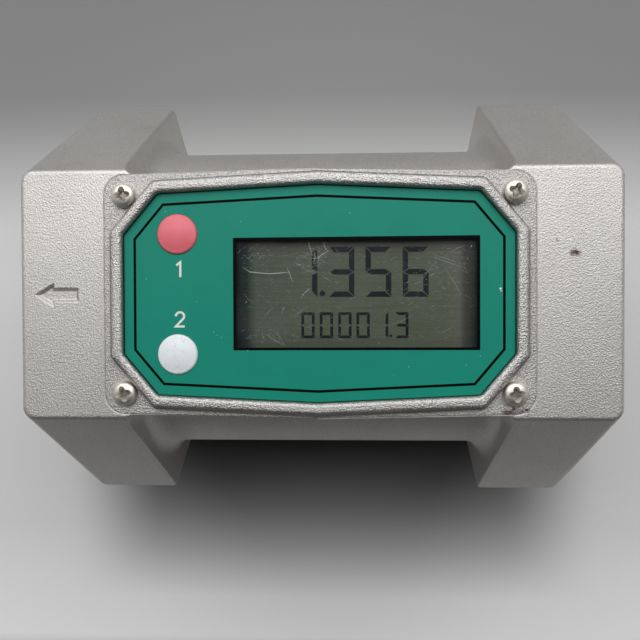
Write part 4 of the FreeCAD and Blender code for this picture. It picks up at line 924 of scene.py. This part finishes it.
class FLOWMETER_OT_label(bpy.types.Operator):
    """Printed label: border line, window frame and a numeral beside each button"""
    bl_idname = "flow_meter.label"
    bl_label = "Label print"

    # Nicks that show the film's white core: place and radius, in mm
    NICKS = [(30.2, 0.72, 0.2), (30.32, 0.36, 0.13), (-11.76, -9.4, 0.11), (-11.6, -9.2, 0.09),
             (-16.9, -6.9, 0.05), (-17.5, -6.3, 0.05), (-16.2, -7.3, 0.05), (-25.6, 13.9, 0.06),
             (-12.9, 12.1, 0.05), (24.6, -11.9, 0.05), (26.9, -10.4, 0.05), (12.6, -13.6, 0.05),
             (15.1, -12.2, 0.06), (-28.9, 2.6, 0.05), (5.4, 13.4, 0.05), (-20.3, -1.2, 0.05)]

    HOLE_REACH, HOLE_GAP = 0.5 * MM, 0.03 * MM  # past a button's cap: points to move, and how far
    WINDOW_MARGIN = 1.02 * MM  # of the pane behind the label
    SKEW = 0.12 * MM  # the frame's upper right corner is printed this much high
    NUMERAL_PLACE = (0.4, 5.9)  # from a button's middle to its numeral, in mm
    # The numerals' strokes, on a height of one
    ONE = [(-0.22, 0.26), (0.04, 0.46), (0.04, -0.5)]
    BOW = [math.radians(a) for a in range(165, -40, -15)]
    TWO = [(-0.27, 0.2), (-0.27, -0.46), (0.3, -0.46)]
    TWO[1:1] = [(0.27 * math.cos(a), 0.2 + 0.26 * math.sin(a)) for a in BOW]

    def execute(self, context):
        sizes = context.scene.flow_meter_sizes
        film = merged_copy("face_label")
        for node in ("calibrate_button", "display_button"):
            centre, cap = middle(node), cap_radius(node)
            for vert in film.verts:
                out = vert.co.xy - centre
                if out.length < cap + self.HOLE_REACH:
                    vert.co.xy = centre + out.normalized() * (cap + self.HOLE_GAP)
        dress(make_object("printed_label", film), "housing", "green_label", "screen_printed_film",
              "face_label")
        back, face = (corner.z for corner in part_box("face_label"))
        low, high = (face + rise for rise in PRINT)
        outline = outline_of(NODES["face_label"].data.vertices)
        black = bmesh.new()
        band(black, inset(outline, sizes.border_inset + sizes.border_width / 2),
             sizes.border_width, low, high, closed=True)
        opening = rectangle(*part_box("display_window"), self.WINDOW_MARGIN)
        frame_line = inset(opening, -sizes.window_border)
        frame_line[2].y += self.SKEW
        for k in range(4):
            after = (k + 1) % 4
            side = [frame_line[k], frame_line[after], opening[after], opening[k]]
            prism(black, side, back, high)
        bmesh.ops.remove_doubles(black, verts=black.verts, dist=WELD)
        dress(make_object("label_black_print", black), "housing", "black_plastic",
              "black_screen_ink")
        white = bmesh.new()
        across, away = self.NUMERAL_PLACE
        for node, shape, side in (("calibrate_button", self.ONE, -1),
                                  ("display_button", self.TWO, 1)):
            spot = middle(node) + Vector((across, side * away)) * MM
            band(white, [spot + Vector(p) * sizes.numeral_height for p in shape],
                 sizes.numeral_stroke, low, high)
        specks(white, self.NICKS, 6, low, high)
        dress(make_object("label_white_print", white), "housing", "white_plastic",
              "white_screen_ink")
        return {"FINISHED"}


class FLOWMETER_OT_display(bpy.types.Operator):
    """Liquid crystal panel with its two rows of digits"""
    bl_idname = "flow_meter.display"
    bl_label = "Display"

    SEGMENTS = {"0": "abcdef", "1": "bc", "3": "abcdg", "5": "acdfg", "6": "acdefg"}
    SMALL = 0.518  # height of the lower row against the upper one
    # Glyph, place of its lower left corner or of the point's middle in mm, and size
    ROWS = [("1", -4.45, -0.52, 1.0), (".", 0.73, 0.07, 1.0), ("3", 1.78, -0.52, 1.0),
            ("5", 8.0, -0.53, 1.0), ("6", 14.25, -0.55, 1.0),
            ("0", -2.85, -7.48, SMALL), ("0", 0.27, -7.48, SMALL), ("0", 3.39, -7.49, SMALL),
            ("0", 6.46, -7.5, SMALL), ("1", 9.57, -7.5, SMALL), (".", 12.24, -7.11, SMALL),
            ("3", 12.95, -7.51, SMALL)]

    def outlines(self, wide, tall, stroke, gap):
        """Outline of each of the seven segments, mitred where they meet."""
        s, m, h = gap / math.sqrt(2), tall / 2, stroke / 2
        top = [(s, tall), (wide - s, tall), (wide - stroke - s, tall - stroke),
               (stroke + s, tall - stroke)]
        upper = [(wide, tall - s), (wide, m + s), (wide - stroke, m + h + s),
                 (wide - stroke, tall - stroke - s)]
        bar = [(2 * s, m), (stroke + s, m + h), (wide - stroke - s, m + h), (wide - 2 * s, m),
               (wide - stroke - s, m - h), (stroke + s, m - h)]

        def turned(shape, flip_x, flip_y):
            return [(wide - x if flip_x else x, tall - y if flip_y else y) for x, y in shape]

        return {"a": top, "b": upper, "c": turned(upper, 0, 1), "d": turned(top, 0, 1),
                "e": turned(upper, 1, 1), "f": turned(upper, 1, 0), "g": bar}

    def execute(self, context):
        sizes = context.scene.flow_meter_sizes
        NODES["lcd_panel"].material_slots[0].material = material("polarised_display_glass")
        segments = self.outlines(sizes.digit_width, sizes.digit_height, sizes.digit_stroke,
                                 sizes.digit_gap)
        shapes = {digit: [segments[s] for s in on] for digit, on in self.SEGMENTS.items()}
        shapes["."] = [ring(20, sizes.digit_stroke / 2, sizes.digit_stroke / 2)]
        glyphs = bpy.data.collections.new("display_glyphs")
        order = sorted(shapes)
        for number, label in enumerate(order):
            bm = bmesh.new()
            for shape in shapes[label]:
                prism(bm, shape, *PRINT)
            glyph = make_object("glyph_%d" % number, bm)
            context.scene.collection.objects.unlink(glyph)
            glyphs.objects.link(glyph)
        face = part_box("lcd_panel")[1].z
        points = point_mesh("display_places", [(x * MM, y * MM, face) for _, x, y, _ in self.ROWS],
                            glyph=[order.index(label) for label, *_ in self.ROWS],
                            size=[size for *_, size in self.ROWS])
        digits = grow("display_digits", digit_tree(), {"Glyphs": glyphs}, points)
        for glyph in list(glyphs.objects):
            bpy.data.objects.remove(glyph)
        bpy.data.collections.remove(glyphs)
        dress(digits, "housing", "black_plastic", "liquid_crystal_segment")
        return {"FINISHED"}


class FLOWMETER_OT_window(bpy.types.Operator):
    """Clear pane with the scratches of use"""
    bl_idname = "flow_meter.window"
    bl_label = "Window pane"

    # Scratches that stand out: width, then x and y of the points along each, in mm
    LONG = [
        (0.1, -12.44, 4.39, -11.37, 3.72, -9.7, 3.53, -8.02, 3.4, -6.35, 3.51, -4.77, 3.68),
        (0.08, -5.22, 4.65, -4.68, 3.29, -4.11, 1.77),
        (0.07, -1.62, 8.9, -1.24, 7.65, -0.88, 6.38),
        (0.06, -3.61, 5.1, -3.2, 4.92, -2.7, 4.9),
        (0.05, -2.25, 5.0, -2.5, 4.3, -2.62, 3.9),
        (0.05, -2.0, 4.0, -1.64, 3.87, -0.43, 3.63),
        (0.09, 1.91, 7.17, 0.79, 6.58, 0.27, 6.19, 0.03, 5.16),
        (0.08, 1.04, 8.68, 1.12, 7.99, 1.33, 7.54, 1.85, 7.02),
        (0.09, 0.33, 6.19, -0.43, 5.83, -0.82, 5.95),
        (0.06, -0.57, 7.04, -0.43, 6.13, -0.64, 5.08),
        (0.05, -2.88, -0.75, -2.11, 0.25, -1.11, 0.85),
        (0.05, -2.72, -0.35, -1.96, 0.4, -1.2, 1.15),
        (0.06, -6.08, -3.37, -5.83, -2.55, -5.31, -2.01),
        (0.04, -8.83, -6.55, -7.86, -7.4, -6.71, -8.07, -5.8, -8.62),
        (0.03, -7.46, -6.4, -6.4, -7.16, -5.64, -8.37),
        (0.025, -9.44, -6.24, -9.2, -7.15, -8.9, -7.76),
        (0.07, -6.7, -7.77, -5.49, -8.62),
        (0.035, -4.41, -3.83, -3.04, -3.08, -1.52, -2.02),
        (0.02, -10.04, -5.18, -8.2, -2.91, -6.68, -1.7),
        (0.05, 0.77, 2.95, 1.53, 2.5, 2.43, 1.89),
        (0.04, 18.65, 6.15, 21.34, 5.23, 24.07, 4.23),
        (0.035, 18.95, 6.6, 21.04, 5.83, 23.72, 4.89),
        (0.08, 18.5, 2.79, 19.1, 3.12, 19.55, 3.3),
        (0.035, 19.7, 5.24, 18.2, 3.45, 16.86, 1.51),
        (0.035, 20.98, 4.43, 22.53, 2.08, 23.89, -0.47),
        (0.035, 21.93, 6.88, 23.27, 7.47, 24.61, 7.99),
        (0.05, 15.96, 1.52, 16.86, 1.87, 17.31, 2.11),
        (0.035, 11.75, -5.39, 13.85, -4.64, 15.95, -3.59),
        (0.035, 20.58, -6.61, 21.62, -6.02, 22.52, -5.42),
    ]
    # Places that were rubbed most: middle, half width and half depth in mm, and how much more
    WORN = [(-1.6, 5.2, 2.2, 2.0, 12.0), (0.6, 6.6, 1.3, 1.6, 10.0), (-10.5, 6.5, 3.0, 2.0, 4.0),
            (21.5, 4.5, 3.2, 3.2, 5.0), (-7.5, -7.2, 4.5, 1.4, 4.0)]
    # Specks of dust: place and radius, in mm
    SPECKS = [(-9.98, 6.8, 0.09), (-12.0, -1.3, 0.08), (-10.1, 8.3, 0.05), (-3.4, -7.1, 0.06),
              (-5.9, -8.3, 0.06), (25.5, 7.8, 0.1), (24.85, 5.7, 0.07), (7.9, 6.2, 0.06),
              (13.0, 6.0, 0.05), (11.5, 6.4, 0.05), (8.7, -5.8, 0.06), (10.2, -8.3, 0.06)]
    TIP = 0.2  # width of a scratch's ends against its middle
    # One short scratch, in mm, and how the pane is strewn with them
    SCUFF = [(-0.9, 0.0), (0.1, -0.013), (0.9, 0.0), (0.1, 0.013)]
    STREWN = {"Density": 6e5, "Lean": 0.9, "Seed": 11}
    CLEAN_EDGE = 2 * MM  # no scuffs nearer to the pane's edge

    def execute(self, context):
        NODES["display_window"].material_slots[0].material = material("scuffed_clear_acrylic")
        low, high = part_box("display_window")
        under, over = (high.z + rise for rise in SCRATCH)
        bm = bmesh.new()
        for width, *places in self.LONG:
            points = [Vector(p) * MM for p in zip(places[::2], places[1::2])]
            widths = [width * MM] * len(points)
            widths[0] = widths[-1] = self.TIP * width * MM
            band(bm, points, widths, under, over)
        specks(bm, self.SPECKS, 7, under, over)
        dress(make_object("pane_scratches", bm), "housing", "clear_pane", "acrylic_scratch")
        mark = bmesh.new()
        prism(mark, [(x * MM, y * MM) for x, y in self.SCUFF], *SCRATCH)
        scratch = make_object("scuff_mark", mark)
        corners = [(*c, high.z) for c in rectangle(low, high, self.CLEAN_EDGE)]
        faces, wear = [(0, 1, 2, 3)], [1.0]
        for x, y, wide, deep, factor in self.WORN:
            edge = [(px * MM, py * MM, high.z) for px, py in ring(20, wide, deep, x, y)]
            faces.append(tuple(range(len(corners), len(corners) + len(edge))))
            wear.append(factor)
            corners += edge
        pane = bpy.data.meshes.new("scuff_field")
        pane.from_pydata(corners, [], faces)
        pane.attributes.new("wear", "FLOAT", "FACE").data.foreach_set("value", wear)
        scuffs = grow("pane_scuffs", scuff_tree(), {"Scratch": scratch, **self.STREWN}, pane)
        bpy.data.objects.remove(scratch)
        dress(scuffs, "housing", "clear_pane", "acrylic_scratch")
        return {"FINISHED"}


class FLOWMETER_OT_buttons(bpy.types.Operator):
    """Domed red and white push buttons"""
    bl_idname = "flow_meter.buttons"
    bl_label = "Push buttons"

    STEM = 0.34  # radius of the stem against the flange
    FOOT, FLANGE, BEVEL = 0.2 * MM, 0.6 * MM, 0.1 * MM  # heights of the stem, flange and its slope
    ROUND = 0.5 * MM  # radius of the cap's edge

    def execute(self, context):
        crown = context.scene.flow_meter_sizes.button_crown
        for name, node, body, slot, skin in (
                ("red_cap", "calibrate_button", "calibrate_key", "red_plastic", "red_silicone"),
                ("white_cap", "display_button", "display_key", "white_plastic", "white_silicone")):
            low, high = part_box(node)
            cap = cap_radius(node)
            flange, flat = cap + BUTTON_LIP, cap - self.ROUND
            stem = self.STEM * flange
            foot = low.z + self.FOOT
            top = foot + self.FLANGE
            profile = [(0, low.z), (stem, low.z), (stem, foot), (flange, foot), (flange, top),
                       (cap, top + self.BEVEL)]
            shoulder = high.z - crown - self.ROUND
            for k in range(7):
                lift = math.radians(15 * k)
                profile.append((flat + self.ROUND * math.cos(lift),
                                shoulder + self.ROUND * math.sin(lift)))
            for k in range(1, 9):
                reach = 1 - k / 8
                profile.append((flat * reach, high.z - crown * reach ** 2))
            bm = bmesh.new()
            lathe(bm, profile, middle(node))
            dress(make_object(name, bm), body, slot, skin, node)
        return {"FINISHED"}


class FLOWMETER_OT_inner_parts(bpy.types.Operator):
    """Electronics, turbine and flow supports: real finishes on the engineering shapes"""
    bl_idname = "flow_meter.inner_parts"
    bl_label = "Electronics and turbine"

    FINISHES = {
        "black_nitrile_rubber": ("cover_gasket",),
        "black_moulded_nylon": ("lcd_frame", "controller_chip", "switch_bodies", "battery_holder",
                                "calibrate_plunger", "display_plunger"),
        "layered_contact_elastomer": ("lcd_connectors",),
        "solder_masked_laminate": ("circuit_board",),
        "nickel_plated_steel": ("board_screws", "coin_cell", "rotor_magnets"),
        "rolled_spring_steel": ("battery_clip", "inlet_retaining_ring", "outlet_retaining_ring",
                                "rotor_shaft"),
        "enamelled_copper_winding": ("pickup_coil",),
        "tinned_copper_wire": ("pickup_leads",),
        "white_moulded_acetal": ("inlet_support", "outlet_support"),
        "grey_moulded_acetal": ("turbine_rotor",),
        "pressed_carbon": ("inlet_bearing", "outlet_bearing", "thrust_washers"),
    }

    def execute(self, context):
        for skin, nodes in self.FINISHES.items():
            for node in nodes:
                NODES[node].material_slots[0].material = material(skin)
        return {"FINISHED"}


class FLOWMETER_OT_stage(bpy.types.Operator):
    """Paper floor, soft light and the camera above the display"""
    bl_idname = "flow_meter.stage"
    bl_label = "Stage"

    FLOOR_HALF, FLOOR_LEVEL = 2.0, -0.2 * MM
    LAMP_PLACE, LAMP_AIM = Vector((-0.01, 0.39, 0.63)), Vector((0, 0, 0.05))
    LAMP_WIDTH, LAMP_DEPTH, LAMP_POWER = 1.2, 0.65, 6.1
    CAMERA_PLACE = Vector((5.1, -2.75, 188.118)) * MM
    CAMERA_TURN = (-0.8216, 2.3578, -0.2113)  # degrees
    LENS, SENSOR, NEAREST = 38.69, 36.0, 0.005  # lens and sensor in mm, nearest sight in m

    def light_room(self, tree):
        """Room light: dim in front, brighter behind and at the sides, before a grey wall."""
        sides = add(tree, "SeparateXYZ", (add(tree, "TexCoord").outputs["Generated"],)).outputs
        back = add(tree, "Math MULTIPLY_ADD", (sides["Y"], 0.5, 0.5))
        room = add(tree, "ValToRGB", (back,),
                   [(0.2, 0.02), (0.46, 0.03), (0.6, 0.13), (0.85, 0.17)])
        beside = add(tree, "Math ABSOLUTE", (sides["X"],))
        windows = add(tree, "MapRange", (beside, 0.6, 0.95, 0.0, 0.35))
        lit = add(tree, "Math ADD", (room, windows))
        shown = add(tree, "ValToRGB", (sides["Z"],),
                    [(0.0, 0.5), (0.12, 0.4), (0.3, 0.2), (0.6, 0.0)])
        dimmed = add(tree, "MapRange", (back, 0.25, 0.7, 0.35))
        for share in (dimmed, seen_directly(tree)):
            shown = add(tree, "Math MULTIPLY", (shown, share))
        level = add(tree, "Math MAXIMUM", (lit, shown))
        wire(tree, tree.nodes["Background"], {"Color": level})

    def execute(self, context):
        scene = context.scene
        reach = Vector((self.FLOOR_HALF, self.FLOOR_HALF))
        floor = bpy.data.meshes.new("floor")
        floor.from_pydata([(*c, self.FLOOR_LEVEL) for c in rectangle(-reach, reach)],
                          [], [(0, 1, 2, 3)])
        floor.materials.append(material("pale_paper"))
        paper = bpy.data.objects.new("floor", floor)
        scene.collection.objects.link(paper)
        lamp = bpy.data.lights.new("key_softbox", "AREA")
        lamp.shape, lamp.energy = "RECTANGLE", self.LAMP_POWER
        lamp.size, lamp.size_y = self.LAMP_WIDTH, self.LAMP_DEPTH
        box = bpy.data.objects.new("key_softbox", lamp)
        box.location = self.LAMP_PLACE
        box.rotation_euler = (self.LAMP_AIM - self.LAMP_PLACE).to_track_quat("-Z", "Y").to_euler()
        scene.collection.objects.link(box)
        world = bpy.data.worlds.new("soft_room")
        world.use_nodes = True
        self.light_room(world.node_tree)
        scene.world = world
        lens = bpy.data.cameras.new("camera")
        lens.lens, lens.sensor_width, lens.clip_start = self.LENS, self.SENSOR, self.NEAREST
        camera = bpy.data.objects.new("camera", lens)
        camera.location = self.CAMERA_PLACE
        camera.rotation_euler = [math.radians(a) for a in self.CAMERA_TURN]
        scene.collection.objects.link(camera)
        scene.camera = camera
        scene.view_settings.view_transform = "Standard"
        return {"FINISHED"}


OPERATORS = (FLOWMETER_OT_castings, FLOWMETER_OT_threads, FLOWMETER_OT_screws,
             FLOWMETER_OT_label, FLOWMETER_OT_display, FLOWMETER_OT_window,
             FLOWMETER_OT_buttons, FLOWMETER_OT_inner_parts, FLOWMETER_OT_stage)


class FLOWMETER_PT_pieces(bpy.types.Panel):
    """Sizes, colours and pieces of the flow meter"""
    bl_label = "Flow meter"
    bl_idname = "FLOWMETER_PT_pieces"
    bl_space_type = "VIEW_3D"
    bl_region_type = "UI"
    bl_category = "Flow meter"

    def draw(self, context):
        for group in (context.scene.flow_meter_sizes, context.scene.flow_meter_colours):
            for name in group.bl_rna.properties.keys():
                if name not in {"rna_type", "name"}:
                    self.layout.prop(group, name)
        for operator in OPERATORS:
            self.layout.operator(operator.bl_idname)


CLASSES = (FlowMeterSizes, FlowMeterColours, *OPERATORS, FLOWMETER_PT_pieces)


def register():
    for cls in CLASSES:
        bpy.utils.register_class(cls)
    bpy.types.Scene.flow_meter_sizes = PointerProperty(type=FlowMeterSizes)
    bpy.types.Scene.flow_meter_colours = PointerProperty(type=FlowMeterColours)


def unregister():
    del bpy.types.Scene.flow_meter_colours
    del bpy.types.Scene.flow_meter_sizes
    for cls in reversed(CLASSES):
        bpy.utils.unregister_class(cls)


def main():
    register()
    bpy.ops.flow_meter.castings()
    bpy.ops.flow_meter.threads()
    bpy.ops.flow_meter.screws()
    bpy.ops.flow_meter.label()
    bpy.ops.flow_meter.display()
    bpy.ops.flow_meter.window()
    bpy.ops.flow_meter.buttons()
    bpy.ops.flow_meter.inner_parts()
    bpy.ops.flow_meter.stage()


if __name__ == "__main__":
    main()
